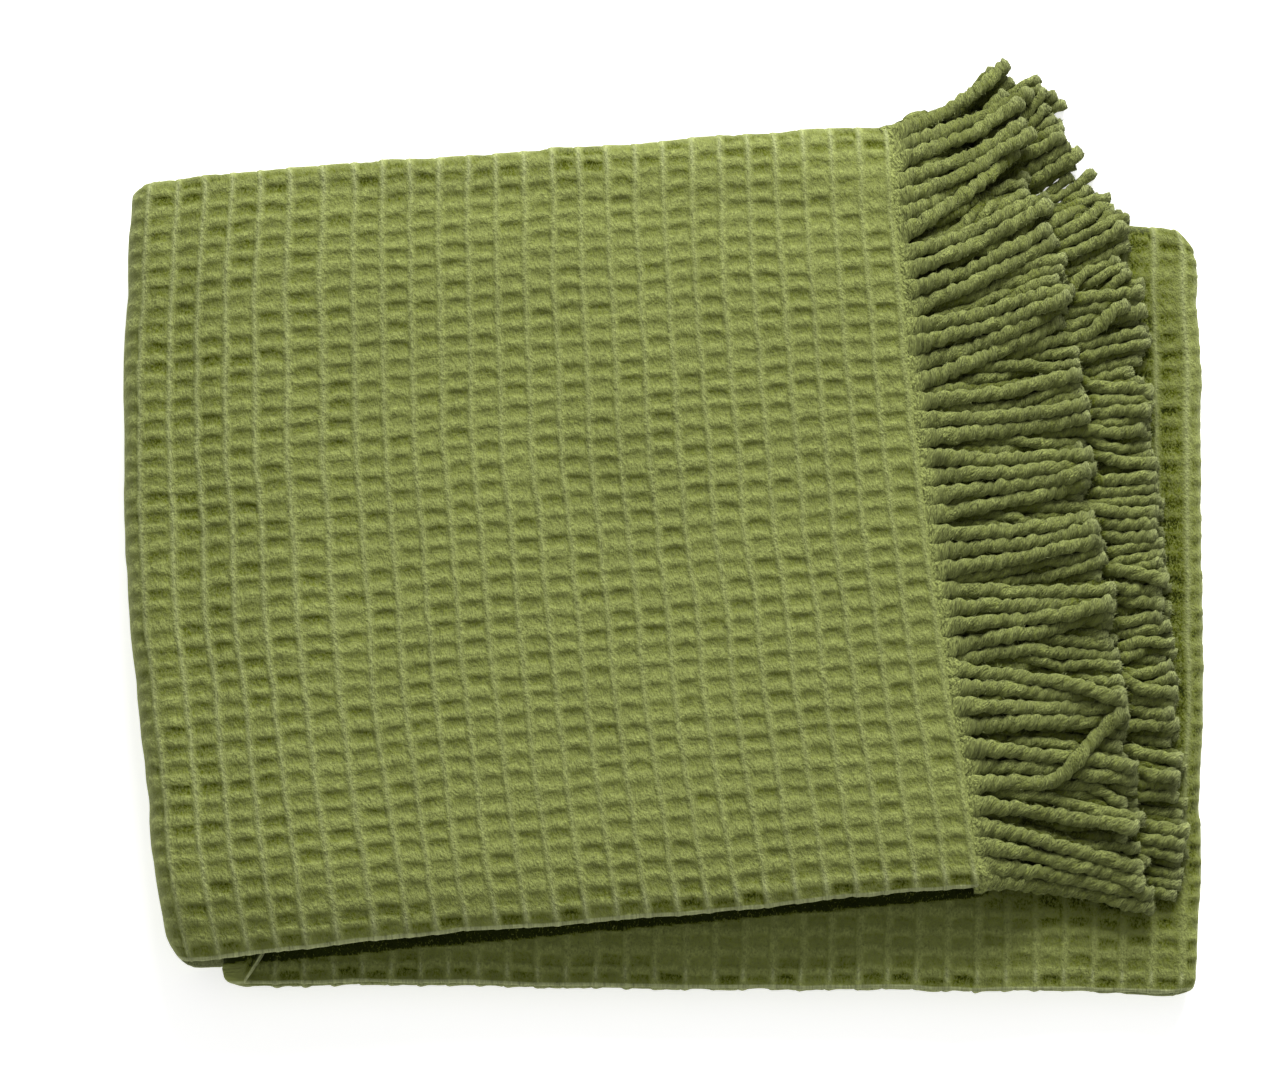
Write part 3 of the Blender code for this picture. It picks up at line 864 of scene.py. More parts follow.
# %% The fan of the cords
CORD_POINTS = 20
FAN = (
    # share of the width from the front, direction of the cords in degrees from +X
    (0.0, -13.0), (0.08, -8.0), (0.2, -2.0), (0.35, 2.5), (0.5, 6.0), (0.6, 13.0),
    (0.68, 23.0), (0.76, 30.0), (0.84, 35.0), (0.92, 40.0), (1.0, 44.0),
)
LOWER_FAN = 0.78                # the lower end's cords turn back less
FIRST_TURN = 0.45               # share of its turn that a cord has taken at its root
LAST_TURN = 1.1                 # and at its tip, where it overshoots
TURN_EARLY = 1.6                # 1 spreads the turn evenly, and more brings it forward
BUNCH_TURN = 2.9                # how far a bunch of cords strays from the fan
OWN_TURN = 1.5                  # and each cord from its bunch
ROW_TURN = 2.5                  # the rows cross each other a little, so no gap goes through all
WANDER = 4.0                    # how much a cord's direction waves along its length
WANDER_WAVES = 2.1              # so often,
WANDER_GROWTH = 0.7             # and more and more towards the tip
BUNCH_DRAW = 0.6                # how much a bunch closes up, in degrees for each mm
STRAY_ROW = 7
STRAY_CORD = 5
STRAY_TURN = 44.0               # the stray cord turns by this,
STRAY_FROM = 0.33               # from this share of its length on,
STRAY_RUN = 0.22                # and over this much of it
RANDOM = np.random.default_rng(27)


def bunches(count):
    """The bunch that each cord of a row is in: one to four neighbours."""
    numbers, bunch = [], 0
    while len(numbers) < count:
        numbers += [bunch] * int(RANDOM.integers(1, 5))
        bunch += 1
    return np.array(numbers[:count])


def wanted_directions(row_number, shares):
    """Where each cord of a row would point in the end, in degrees from +X, and its bunch."""
    bunch = bunches(len(shares))
    middle = np.array([shares[bunch == number].mean() for number in bunch])
    target = np.interp(middle, *zip(*FAN))
    if row_number < FIRST_UPPER:
        target = np.minimum(target, LOWER_FAN * target)
    target += BUNCH_TURN * RANDOM.standard_normal(bunch.max() + 1)[bunch]
    target += OWN_TURN * RANDOM.standard_normal(len(shares))
    target -= BUNCH_DRAW * (shares - middle) * END_WIDTH
    target += ROW_TURN * (row_number % 3 - 1)
    return target, bunch


def cord_angles(row_number, square, target, bunch):
    """The direction of each piece of a row's cords, from square to the cloth to the target."""
    share = np.linspace(0.0, 1.0, CORD_POINTS)[None, :-1]
    turn = FIRST_TURN + (LAST_TURN - FIRST_TURN) * (1.0 - (1.0 - share) ** TURN_EARLY)
    wave = noise(share * WANDER_WAVES + 7.3 * bunch[:, None], row_number, 6)
    wave = WANDER * wave * share ** WANDER_GROWTH
    angle = square + (target[:, None] - square) * turn + wave
    if row_number == STRAY_ROW:
        angle[STRAY_CORD] += STRAY_TURN * smooth_step((share[0] - STRAY_FROM) / STRAY_RUN)
    return np.radians(angle)


print("the cords fan out from", FAN[0][1], "to", FAN[-1][1], "degrees")

# %% [markdown]
# Now each cord's intended way is a chain of twenty points, laid out link by link from its root.
# The lengths differ a little from cord to cord, as when a fringe is cut by eye. Each row starts a
# little higher than the one before, so that the rows come to lie on each other in their order.

# %% The ways that the cords would take
CORD_LENGTH = 71.0
LOWER_CORD_LENGTHS = ((0.0, 68.0), (0.5, 74.0), (0.84, 81.0), (0.92, 72.0), (1.0, 68.0))
CORD_UNEVEN = 2.5
ROW_LIFT = 1.6                  # each row's tips start higher than the last one's by this
LIFT_FROM = -0.12               # and its roots don't
STRAY_LENGTH = 82.0             # with its root
STRAY_LIFT = 9.0                # the stray cord climbs over its neighbours,
CLIMB_FROM = -0.6               # mostly near its root
NEXT_TO = 0.004                 # share of the width, to measure a slope over


def cord_lengths(row_number, shares):
    """The length of each cord of a row, with its root."""
    length = CORD_LENGTH
    if row_number < FIRST_UPPER:
        length = np.interp(shares, *zip(*LOWER_CORD_LENGTHS))
    length = length + ROOT_INSIDE + CORD_UNEVEN * RANDOM.uniform(-1, 1, len(shares))
    if row_number == STRAY_ROW:
        length[STRAY_CORD] = STRAY_LENGTH
    return length


def end_slope(name, layer, shares):
    """How steeply the cloth's end rises towards the back, at the places of its cords."""
    across = (on_end(name, layer, shares + NEXT_TO, 0.0)
              - on_end(name, layer, shares - NEXT_TO, 0.0))
    return across[:, 2] / np.hypot(across[:, 0], across[:, 1])


def intended_row(row_number):
    """One row's cords: their intended ways, the pitch of their points, and their radius and
    slope."""
    name, layer, count, radius = CORD_ROWS[row_number]
    shares = cord_shares(name, layer, count)
    start = on_end(name, layer, shares, -ROOT_INSIDE)
    ahead = on_end(name, layer, shares, ROOT_INSIDE) - start
    square = np.degrees(np.arctan2(ahead[:, 1], ahead[:, 0]))[:, None]
    angle = cord_angles(row_number, square, *wanted_directions(row_number, shares))
    pitch = (cord_lengths(row_number, shares) / (CORD_POINTS - 1))[:, None]
    ways = np.repeat(start[:, None, :], CORD_POINTS, axis=1)
    ways[:, 1:, 0] += np.cumsum(pitch * np.cos(angle), axis=1)
    ways[:, 1:, 1] += np.cumsum(pitch * np.sin(angle), axis=1)
    risen = np.maximum(np.linspace(LIFT_FROM, 1.0, CORD_POINTS), 0.0)
    ways[:, :, 2] += ROW_LIFT * row_number * risen
    if row_number == STRAY_ROW:
        climbed = smooth_step(np.linspace(CLIMB_FROM, 1.0, CORD_POINTS))
        ways[STRAY_CORD, :, 2] += STRAY_LIFT * climbed
    return ways, pitch, np.full(len(shares), radius), end_slope(name, layer, shares)


intended = [intended_row(number) for number in range(len(CORD_ROWS))]
ROW_OF = np.concatenate([[number] * len(row[2]) for number, row in enumerate(intended)])
cord_ways, cord_pitch, cord_radius, cord_slope = (
    np.concatenate([row[part] for row in intended]) for part in range(4))
print(len(cord_ways), "cords in", len(CORD_ROWS), "rows")

# %% [markdown]
# The cords come to rest on something: the upper end's on the panel below it and on the lower
# panel beyond, the lower end's on the lower panel, and where that ends at the back, on the floor.
# Its height is worked out by the same formulas as the cloth's, because asking the mesh at every
# point in every round would take long.

# %% What lies under the cords
PANEL_TOP = PANEL_PITCH + 2.0 * PANEL_HALF + 0.3
SECOND_TOP = PANEL_TOP + PANEL_PITCH
BACK_FROM = 1.5                 # past its back fold's line by this, the panel's top rounds off,
BACK_ROUND = 7.0                # over this distance
END_FROM = -1.0                 # and the second panel's likewise, past its fringed end
END_ROUND = 6.0


def surface_under(points, upper):
    """Height of the cloth or the floor under points in the part's frame."""
    x, y = points[..., 0] + CENTRE[0], points[..., 1] + CENTRE[1]
    behind = behind_lower_panel(x, y)
    lower = PANEL_TOP * crown(x, y) * (1.0 - smooth_step((behind - BACK_FROM) / BACK_ROUND))
    end = LINES["lower_end"]
    beyond = left_of(x, y, end[2:4], end[:2])
    second = SECOND_TOP - sag(x, y)
    second = crown(x, y) * second * (1.0 - smooth_step((beyond - END_FROM) / END_ROUND))
    return np.where(upper, np.maximum(lower, second), lower)


print("the panels' tops are at", round(PANEL_TOP, 2), "and", round(SECOND_TOP, 2), "mm")

# %% [markdown]
# Placed like that, the cords run through each other, so they have to be pushed apart. Two points
# of different cords touch when they are nearer than their radii together. Both then move by half
# of what is missing. The pairs that may touch are found with a search tree, because to measure
# every point against every other one would take far too long.

# %% Cords that touch
SIDEWAYS = 0.3                  # the uppermost row is pushed up more than aside,
LIFT = 0.12                     # and this much further
SQUASH = 0.72                   # cords press each other flatter: they need this much height


def tree_of(points):
    """A tree that quickly finds the points near a place."""
    tree = kdtree.KDTree(len(points))
    for index, point in enumerate(points):
        tree.insert(point, index)
    tree.balance()
    return tree


def close_pairs(points, cord_of, reach):
    """Numbers of all points of different cords that lie within reach of each other."""
    tree = tree_of(points)
    pairs = [(index, other) for index, point in enumerate(points)
             for _, other, _ in tree.find_range(point, reach)
             if other > index and cord_of[other] != cord_of[index]]
    return np.array(pairs).T


def push_apart(points, radius, level, pairs):
    """Moves overlapping points apart, each by half of the overlap. A cord of the uppermost row
    stays above the other rows."""
    first, second = pairs
    scale = np.array((1.0, 1.0, SQUASH))
    apart = (points[first] - points[second]) / scale
    distance = np.maximum(np.linalg.norm(apart, axis=1), 1e-6)
    overlap = np.maximum(radius[first] + radius[second] - distance, 0.0)
    push = apart * (0.5 * overlap / distance)[:, None] * scale
    over = np.sign(level[first] - level[second])
    push[:, :2] *= np.where(over == 0, 1.0, SIDEWAYS)[:, None]
    push[:, 2] = np.where(over == 0, push[:, 2], over * (np.abs(push[:, 2]) + LIFT * overlap))
    for axis in range(3):
        points[:, axis] += np.bincount(first, push[:, axis], len(points))
        points[:, axis] -= np.bincount(second, push[:, axis], len(points))


starts = cord_ways[:, 0] / (1.0, 1.0, SQUASH)
print(close_pairs(starts, range(len(starts)), 5.0).shape[1], "pairs of roots are within 5 mm")

# %% [markdown]
# A full rope simulation isn't needed either: in each round every free point of a chain sinks a
# little, keeps its distance from its neighbours on the chain, resists a sharp bend, and is pushed
# away from the points of other cords and from the cloth below. After some two hundred rounds the
# pile is at rest. No chance is in it, so the result is the same in every run.

# %% The cords settle
ROUNDS = 220
REFRESH = 20                    # after so many rounds, the pairs that may touch are found anew,
PAIR_REACH = 8.0                # which are those within this distance
SINK = 0.28
SINK_FADE = 1.4                 # the sinking slows down in the last part of the rounds
HOLD = (0.02, 0.02, 0.03, 0.05, 0.02, 0.02, 0.04, 0.12)     # each row's pull to its intended way
STIFFNESS = 0.35


def keep_lengths(points, pitch):
    """Pulls each point to its right distance from the one before it."""
    for number in range(2, CORD_POINTS):
        step = points[:, number] - points[:, number - 1]
        step *= pitch / np.linalg.norm(step, axis=1)[:, None]
        points[:, number] = points[:, number - 1] + step


def relaxed(ways, pitch, radius, rounds):
    """The cords' ways once they have settled."""
    points = ways.copy()
    count = len(points)
    cord_of = np.repeat(np.arange(count), CORD_POINTS)
    flat_radius = np.repeat(radius, CORD_POINTS)
    level = np.repeat(np.where(ROW_OF == len(CORD_ROWS) - 1, 1, 0), CORD_POINTS)
    upper = (ROW_OF >= FIRST_UPPER)[:, None]
    wanted = ways[:, :-2] + ways[:, 2:] - 2.0 * ways[:, 1:-1]
    wanted[:, :, 2] = 0.0
    hold = np.array(HOLD)[ROW_OF][:, None, None]
    for number in range(rounds):
        if number % REFRESH == 0:
            squashed = (points / (1.0, 1.0, SQUASH)).reshape(-1, 3)
            pairs = close_pairs(squashed, cord_of, PAIR_REACH)
        points[:, 2:, 2] -= SINK * min(1.0, SINK_FADE - number / rounds)
        points[:, 2:, :2] += hold * (ways[:, 2:, :2] - points[:, 2:, :2])
        bend = points[:, :-2] + points[:, 2:] - 2.0 * points[:, 1:-1] - wanted
        points[:, 1:-1] += 0.5 * STIFFNESS * bend
        points[:, :-2] -= 0.25 * STIFFNESS * bend
        points[:, 2:] -= 0.25 * STIFFNESS * bend
        flat = points.reshape(-1, 3)
        push_apart(flat, flat_radius, level, pairs)
        points = flat.reshape(count, CORD_POINTS, 3)
        points[:, :2] = ways[:, :2]
        ground = surface_under(points, upper) + radius[:, None]
        points[:, 2:, 2] = np.maximum(points, ground[:, :, None])[:, 2:, 2]
        keep_lengths(points, pitch)
    return points


cord_lines = relaxed(cord_ways, cord_pitch, cord_radius, ROUNDS)
print("cords reach from", cord_lines[..., 2].min().round(1), "to",
      cord_lines[..., 2].max().round(1), "mm above the floor")

# %% [markdown]
# Cords that lie under others get little light, as the pits of the weave do. So each point of a
# chain is told how many points of other cords lie above it, and shade will be painted into its
# colour.

# %% Cords under other cords
COVER_REACH = 4.5               # a point is covered by others within this distance,
COVER_STEP = 1.5                # which lie higher by this,
COVER_COUNT = 3.5               # and this many of them cover it fully
COVER_SHARE = 0.85              # its painted shade is then this deep
FROM_ABOVE = (1.0, 1.0, 0.0)    # brings all points to one level, as they are seen from above


def covered(points):
    """How much each point of the chains lies under other cords, 0 to 1."""
    flat = points.reshape(-1, 3)
    places = flat * FROM_ABOVE
    tree = tree_of(places)
    above = [sum(flat[other, 2] > point[2] + COVER_STEP
                 for _, other, _ in tree.find_range(place, COVER_REACH))
             for point, place in zip(flat, places)]
    cover = np.clip(np.array(above, float) / COVER_COUNT, 0.0, 1.0)
    return COVER_SHARE * cover.reshape(points.shape[:2])


cord_cover = covered(cord_lines)
print(int((cord_cover > 0.5 * COVER_SHARE).sum()), "points of the cords are well covered")

# %% [markdown]
# A chain has only twenty points, and a cord needs many more rings for its twist. A smooth curve
# through the chain gives them, and at each ring the cord needs to know which way is ahead, which
# is to its side and which is up.

# %% Rings along the cords
def spread_rings(lines, count):
    """Evenly spaced points on smooth curves through the chains, and their pitch in chains."""
    at = np.linspace(0.0, CORD_POINTS - 1.001, count)
    index = at.astype(int)
    share = (at - index)[None, :, None]
    before, here, after, beyond = (
        lines[:, np.clip(index + step, 0, CORD_POINTS - 1)] for step in (-1, 0, 1, 2))
    return 0.5 * (2.0 * here + (after - before) * share
                  + (2.0 * before - 5.0 * here + 4.0 * after - beyond) * share ** 2
                  + (3.0 * here - before - 3.0 * after + beyond) * share ** 3), at


def directions(centres, slope):
    """At each ring, the ways along the cord, to its side and up."""
    along = np.gradient(centres, axis=1)
    along /= np.linalg.norm(along, axis=2, keepdims=True)
    side = np.cross(np.array((0.0, 0.0, 1.0)), along)
    side[:, :, 2] += slope
    side /= np.linalg.norm(side, axis=2, keepdims=True)
    return along, side, np.cross(along, side)


print("a cord's chain has", CORD_POINTS, "points,", cord_pitch.mean().round(1), "mm apart")

# %% [markdown]
# A cord changes along its length. At its root it is still flat cloth, as wide as the threads that
# it is made of. After a centimetre it is round and twisted, pressed a little flat by its
# neighbours, and at its cut tip its plies come apart, with a blunt end. Sculpting this 291 times
# is no option, so each of these is a smooth change with the distance from the root or the tip.

# %% A cord from root to tip
TWIST_LENGTH = 12.5
TWIST_FROM = 0.9                # the loosest cord has 1.15 of this length, and the tightest 0.9
TWIST_MORE = 0.25
ROOT_TWIST = 0.4                # a root has this share of the twist
TWIST_UNEVEN = 1.3              # how far the twist runs ahead or behind, in radians,
TWIST_WAVE = 9.0                # in waves of about twice this length
FULLNESS = 1.02                 # the cords are thicker than in the table of rows by this factor
PRESSED_WIDE = 1.10             # pressed cords are wider than high, and touch along their sides
PRESSED_FLAT = 0.84
PLY_REACH = 0.22                # from a cord's middle to a ply's, in shares of its radius
ROOT_MERGED = 4.5               # as far as this the root is still flat
ROOT_RUN = 12.0                 # and from here its plies are apart
ROOT_WIDE = 2.6
ROOT_NARROWS = 3.0              # it keeps that width as far as this,
ROOT_TAPER = 3.6                # after this much more, half of that width has gone
ROOT_FLAT = 0.48                # how flat it is where it leaves the cloth
ROOT_SUNK = 0.26                # and how flat inside the cloth, out of sight
ROOT_RISES = 5.0                # it changes from one to the other over this length
ROOT_REACH = 0.12               # share of the plies' distance that is left at the root
TIP_RUN = 8.0                   # the plies begin to part at this distance from the tip
TIP_OPEN = 0.6                  # share by which the plies move apart at the tip
TIP_BLUNT = 0.30                # the very end is narrower again by this share,
TIP_BLUNT_RUN = 1.3             # over this length


def cord_shapes(chosen, rings):
    """What the plies of the chosen cords need to know at each ring."""
    centres, at = spread_rings(cord_lines[chosen], rings)
    radius = FULLNESS * cord_radius[chosen][:, None]
    run = at[None, :] * cord_pitch[chosen]
    left = (CORD_POINTS - 1) * cord_pitch[chosen] - run
    seed = RANDOM.uniform(0.0, 1.0, (len(radius), 1))
    rooted = smooth_step((run - ROOT_MERGED) / (ROOT_RUN - ROOT_MERGED))
    along, side, up = directions(centres, cord_slope[chosen][:, None] * (1.0 - rooted))
    tip = np.clip(1.0 - left / TIP_RUN, 0.0, 1.0) ** 2
    blunt = 1.0 - TIP_BLUNT * np.clip(1.0 - left / TIP_BLUNT_RUN, 0.0, 1.0)
    twist = TWIST_LENGTH * (TWIST_FROM + TWIST_MORE * seed)
    phase = -2.0 * np.pi * np.maximum(run - ROOT_MERGED, 0.0) / twist * mix(ROOT_TWIST, 1.0, rooted)
    phase = phase + TWIST_UNEVEN * noise(run / TWIST_WAVE + 57.0 * seed, seed, 16)
    still_wide = 1.0 / (1.0 + (np.maximum(run - ROOT_NARROWS, 0.0) / ROOT_TAPER) ** 2)
    risen = mix(ROOT_SUNK, ROOT_FLAT, smooth_step(run / ROOT_RISES))
    return SimpleNamespace(
        centres=centres, along=along, side=side, up=up, radius=radius, run=run, seed=seed,
        rooted=rooted, tip=tip, blunt=blunt, phase=phase,
        wide=mix(PRESSED_WIDE, ROOT_WIDE, still_wide), flat=mix(risen, PRESSED_FLAT, rooted),
        reach=radius * PLY_REACH * (1.0 + TIP_OPEN * tip) * mix(ROOT_REACH, 1.0, rooted),
        cover=np.stack([np.interp(at, np.arange(CORD_POINTS), row) for row in cord_cover[chosen]]))


print("a cord's twist is", TWIST_LENGTH * TWIST_FROM, "mm long or more")

# %% [markdown]
# A cord could be one round tube with stripes painted on. Its outline would be smooth, though,
# and a real one is lumpy, because each ply stands out in turn. So each ply is a tube of its own
# that winds round the cord's middle, with lumps as in uneven yarn. The corners of the tube keep
# their places round it and don't turn with the twist, so the mesh has no long slanting faces.

# %% The plies
PLY_RADIUS = 0.79               # shares of the cord's radius
TIP_SWELL = 0.30                # at the tip a ply is thicker by this share,
TIP_LOBES = 0.08                # a little more or less at each of its corners
TIP_RAGGED = 0.3                # the cut is uneven by this many mm
LUMPS = 0.21                    # with its lumps it is thicker or thinner by this share
LUMP_NOISES = (
    # length of a lump in mm, unlikeness of cords, step from corner to corner, share, seed
    (3.1, 31.0, 0.55, 1.0, 8),
    (5.7, 23.0, 0.40, 0.8, 17),
)
GROOVE_SHARE = 0.34             # painted shade in a groove between plies, this deep
GROOVE_NARROW = 1.5             # 1 makes it a gentle wave, and more a narrower groove


def ply_corner(cord, ply, corner, sides):
    """One of the lines that run along a ply, for all cords at once: its points, the shade painted
    into them in the groove between the plies and under other cords, and their place on the yarn."""
    turn = cord.phase + ply
    middle = cord.centres + cord.side * (cord.reach * cord.wide * np.cos(turn))[..., None]
    middle = middle + cord.up * (cord.reach * cord.flat * np.sin(turn))[..., None]
    around = 2.0 * math.pi * corner / sides - 0.5 * math.pi
    lump = sum(
        share * noise(cord.run / length + unlike * cord.seed + ply, corner * step + ply, number)
        for length, unlike, step, share, number in LUMP_NOISES)
    lobe = noise(61.0 * cord.seed + corner * 1.7, ply, 9)
    thick = cord.blunt * cord.radius * PLY_RADIUS * (
        1.0 + LUMPS * lump * cord.rooted + (TIP_SWELL + TIP_LOBES * lobe) * cord.tip)
    ragged = TIP_RAGGED * cord.tip ** 4 * noise(43.0 * cord.seed + corner * 2.3, ply, 10)
    point = (middle + cord.side * (thick * cord.wide * math.cos(around))[..., None]
             + cord.up * (thick * cord.flat * math.sin(around))[..., None]
             + cord.along * ragged[..., None])
    groove = cord.rooted * (0.5 - 0.5 * np.cos(around - turn)) ** GROOVE_NARROW
    place_on = np.stack([cord.run + 97.0 * cord.seed, cord.radius * (around - turn + ply),
                         cord.seed + 0.0 * cord.run], axis=-1)
    return point, np.maximum(GROOVE_SHARE * groove, cord.cover), place_on


def ply_faces(cords, rings, sides):
    """Quads round both plies of each cord, and a face across each of their ends."""
    index = np.arange(cords * rings * 2 * sides).reshape(cords, rings, 2, sides)
    turned = np.roll(index, -1, axis=3)
    quads = np.stack([index[:, :-1], turned[:, :-1], turned[:, 1:], index[:, 1:]], axis=-1)
    tips = index[:, -1].reshape(-1, sides)
    roots = index[:, 0].reshape(-1, sides)[:, ::-1]
    return quads.reshape(-1, 4).tolist() + tips.tolist() + roots.tolist()


print("a cord's plies are", (2.0 * PLY_RADIUS * cord_radius.mean()).round(1), "mm thick")

# %% [markdown]
# Cotton yarn is fuzzy, most of all where it is cut. Hair particles would look right, but they
# aren't part of a mesh, and the throw has to be one. So each fibre that shows is a thin pyramid:
# three corners at its root and a point at its tip. Many spread from the cut tips, and finer ones
# stand off the cords' sides.

# %% Loose fibres
FIBRE_TURNS = (0.0, 2.094, 4.189)           # the corners of a root, a third of a turn apart
OFF_AXIS = (0.31, 0.42, 0.85)               # a way that no fibre has quite
TIP_SPREAD = 0.5                # how far fibres at a tip stray from the cord's own way
TIP_OUT = 0.62                  # they start within this share of its radius,
TIP_MIDDLE = 0.6                # those drawn nearer than this stay near its middle
TIP_INSIDE = 0.8                # and they start this far inside the cord
TIP_LONG = (1.0, 2.2)           # shortest and longest
TIP_HALF = 0.21                 # half their thickness
SIDE_LEAN = 1.3                 # fibres at the sides lean along the cord by this,
SIDE_SPREAD = 0.4
SIDE_INSIDE = 0.2
SIDE_LONG = (1.0, 2.4)
SIDE_HALF = 0.19
BARE_SHARE = 6                  # the first sixth of a cord has none


def fibre_corners(base, way, long, half):
    """Four corners for each pointed fibre."""
    way = way / np.linalg.norm(way, axis=-1, keepdims=True)
    across = np.cross(way, np.array(OFF_AXIS))
    across /= np.linalg.norm(across, axis=-1, keepdims=True)
    other = np.cross(way, across)
    corners = [base + half * (math.cos(turn) * across + math.sin(turn) * other)
               for turn in FIBRE_TURNS]
    return np.stack(corners + [base + long * way], axis=-2)


def tip_fibres(tips, along, radius, count):
    """Short fibres that spread at the cut tips."""
    cords = len(tips)
    way = along[:, None, :] + TIP_SPREAD * RANDOM.standard_normal((cords, count, 3))
    off = RANDOM.standard_normal((cords, count, 3))
    off -= (off * along[:, None, :]).sum(axis=2, keepdims=True) * along[:, None, :]
    distance = np.maximum(np.linalg.norm(off, axis=2, keepdims=True), TIP_MIDDLE)
    off *= TIP_OUT * radius[:, None, None] / distance
    base = tips[:, None, :] + off - TIP_INSIDE * along[:, None, :]
    long = RANDOM.uniform(*TIP_LONG, (cords, count, 1))
    return fibre_corners(base, way, long, TIP_HALF).reshape(-1, 4, 3)


def side_fibres(points, centres, along, count):
    """Thinner fibres that stand off the sides of the cords, beyond their roots."""
    cords, rings, corners = points.shape[:3]
    cord = RANDOM.integers(0, cords, count)
    ring = RANDOM.integers(rings // BARE_SHARE, rings, count)
    base = points[cord, ring, RANDOM.integers(0, corners, count)]
    out = base - centres[cord, ring]
    out /= np.linalg.norm(out, axis=1, keepdims=True)
    lean = RANDOM.choice((-1.0, 1.0), (count, 1)) * along[cord, ring]
    way = out + SIDE_LEAN * lean + SIDE_SPREAD * RANDOM.standard_normal((count, 3))
    long = RANDOM.uniform(*SIDE_LONG, (count, 1))
    return fibre_corners(base - SIDE_INSIDE * out, way, long, SIDE_HALF)


print("fibres are", TIP_LONG[0], "to", SIDE_LONG[1], "mm long")

# %% [markdown]
# Each end's cords become two meshes: the row on top, with many rings and fibres, and the rows
# that mostly lie under it, which are plainer. The plies, and then the fibres, are joined into one
# list of points. No fibre may go below the floor, so the lowest ones lie flat on it.

# %% The fringes
TIP_PALE = 0.4
FLOOR_GAP = 0.2
FIBRE_DEEP = 0.15               # a fibre's share of deep colour,
FIBRE_PALE = 0.35               # and of pale colour
FIBRE_FACES = ((0, 1, 3), (1, 2, 3), (2, 0, 3), (2, 1, 0))
FRINGES = (
    # name, rows, rings of a cord, sides of a ply, fibres at each tip, fibres along each cord
    ("fringe_upper_top", (7,), 66, 9, 40, 140),
    ("fringe_upper_under", (4, 5, 6), 44, 7, 26, 64),
    ("fringe_lower_top", (3,), 50, 8, 34, 100),
    ("fringe_lower_under", (0, 1, 2), 36, 6, 16, 16),
)


def make_fringe(name, rows, rings, sides, at_tip, at_sides):
    """The cords of some rows as one mesh, with so many fibres at each tip and along each cord."""
    chosen = np.flatnonzero(np.isin(ROW_OF, rows))
    cord = cord_shapes(chosen, rings)
    plies = [ply_corner(cord, ply, corner, sides)
             for ply in (0.0, math.pi) for corner in range(sides)]
    points, groove, place_on = (np.stack(part, axis=2) for part in zip(*plies))
    cut = np.repeat(TIP_PALE * cord.tip[:, :, None], len(plies), axis=2)
    fibres = np.concatenate([
        tip_fibres(cord.centres[:, -1], cord.along[:, -1], cord_radius[chosen], at_tip),
        side_fibres(points, cord.centres, cord.along, at_sides * len(chosen))])
    faces = ply_faces(len(chosen), rings, sides)
    first = points.size // 3 + 4 * np.arange(len(fibres))[:, None]
    for corners in FIBRE_FACES:
        faces += (first + np.array(corners)).tolist()
    everything = np.concatenate([points.reshape(-1, 3), fibres.reshape(-1, 3)])
    everything[:, 2] = np.maximum(everything[:, 2], FLOOR_GAP)
    made = mesh_object(name, everything, faces)
    loose = np.ones(4 * len(fibres))
    # shade painted in the grooves and under other cords, and a fixed share on the fibres
    add_attribute(made, "deep", "FLOAT", np.concatenate([groove.ravel(), FIBRE_DEEP * loose]))
    add_attribute(made, "cut", "FLOAT", np.concatenate([cut.ravel(), FIBRE_PALE * loose]))
    on_fibres = np.tile((0.0, 0.0, 0.5), (len(loose), 1))
    add_attribute(made, "weave", "FLOAT_VECTOR",
                  np.concatenate([place_on.reshape(-1, 3), on_fibres]))
    print(name, "has", len(chosen), "cords and", sum(len(face) - 2 for face in faces), "triangles")
    return made


fringes = {row[0]: make_fringe(*row) for row in FRINGES}

# %% [markdown]
# Under the upper panel's front edge, and close to the cords, the cloth sees little of the sky, and
# what light gets in has lost most of its strength on other cotton. A renderer follows only a few
# of those bounces, so shade is painted into the colour there. First, where is such a place? Below
# the edge a line in plan tells it, and among the cords the number of their points round about.

# %% Sheltered places
EDGE_FROM = -3.4                # it starts this far inside the edge's line: here, before it
EDGE_RUN = 1.2
BEYOND_FROM = -2.0              # it ends here past the fringed end,
BEYOND_RUN = 8.0                # as softly as this
SHELTER_REACH = 18.0
SHELTER_COUNT = 46.0            # so many points of cords within that distance give all of it
SHELTER_FROM = 100.0            # to the left of this place there are no cords


def under_edge(x, y):
    """1 below the upper panel's front edge, and 0 in front of it and beyond the fringed end."""
    inside = left_of(x, y, line_end("outer_fold", "front"), line_end("upper_end", "front"))
    beyond = left_of(x, y, line_end("upper_end", "back"), line_end("upper_end", "front"))
    return (smooth_step((inside - EDGE_FROM) / EDGE_RUN)
            * (1.0 - smooth_step((beyond - BEYOND_FROM) / BEYOND_RUN)))


def near_cords(points):
    """How full of cords the neighbourhood of each point is, 0 to 1."""
    tree = tree_of(cord_lines[:, 2:].reshape(-1, 3) * FROM_ABOVE)
    near = [len(tree.find_range((x, y, 0.0), SHELTER_REACH)) if x > SHELTER_FROM else 0
            for x, y in points[:, :2].tolist()]
    return np.clip(np.array(near) / SHELTER_COUNT, 0.0, 1.0)


middle = np.array([[60.0, -160.0, 18.0], [200.0, 0.0, 18.0]])
print("cords are near two places of the lower panel by", near_cords(middle).round(2))

# %% [markdown]
# The cloth in those places gets more of the shade that is painted into its pits, and in the slit
# below the edge so much that it goes dark, a painted shadow. Its pale crests would still catch the
# eye there, so they are taken back, and more gently along the whole front of the lower panel, which
# lies in the upper panel's shade.

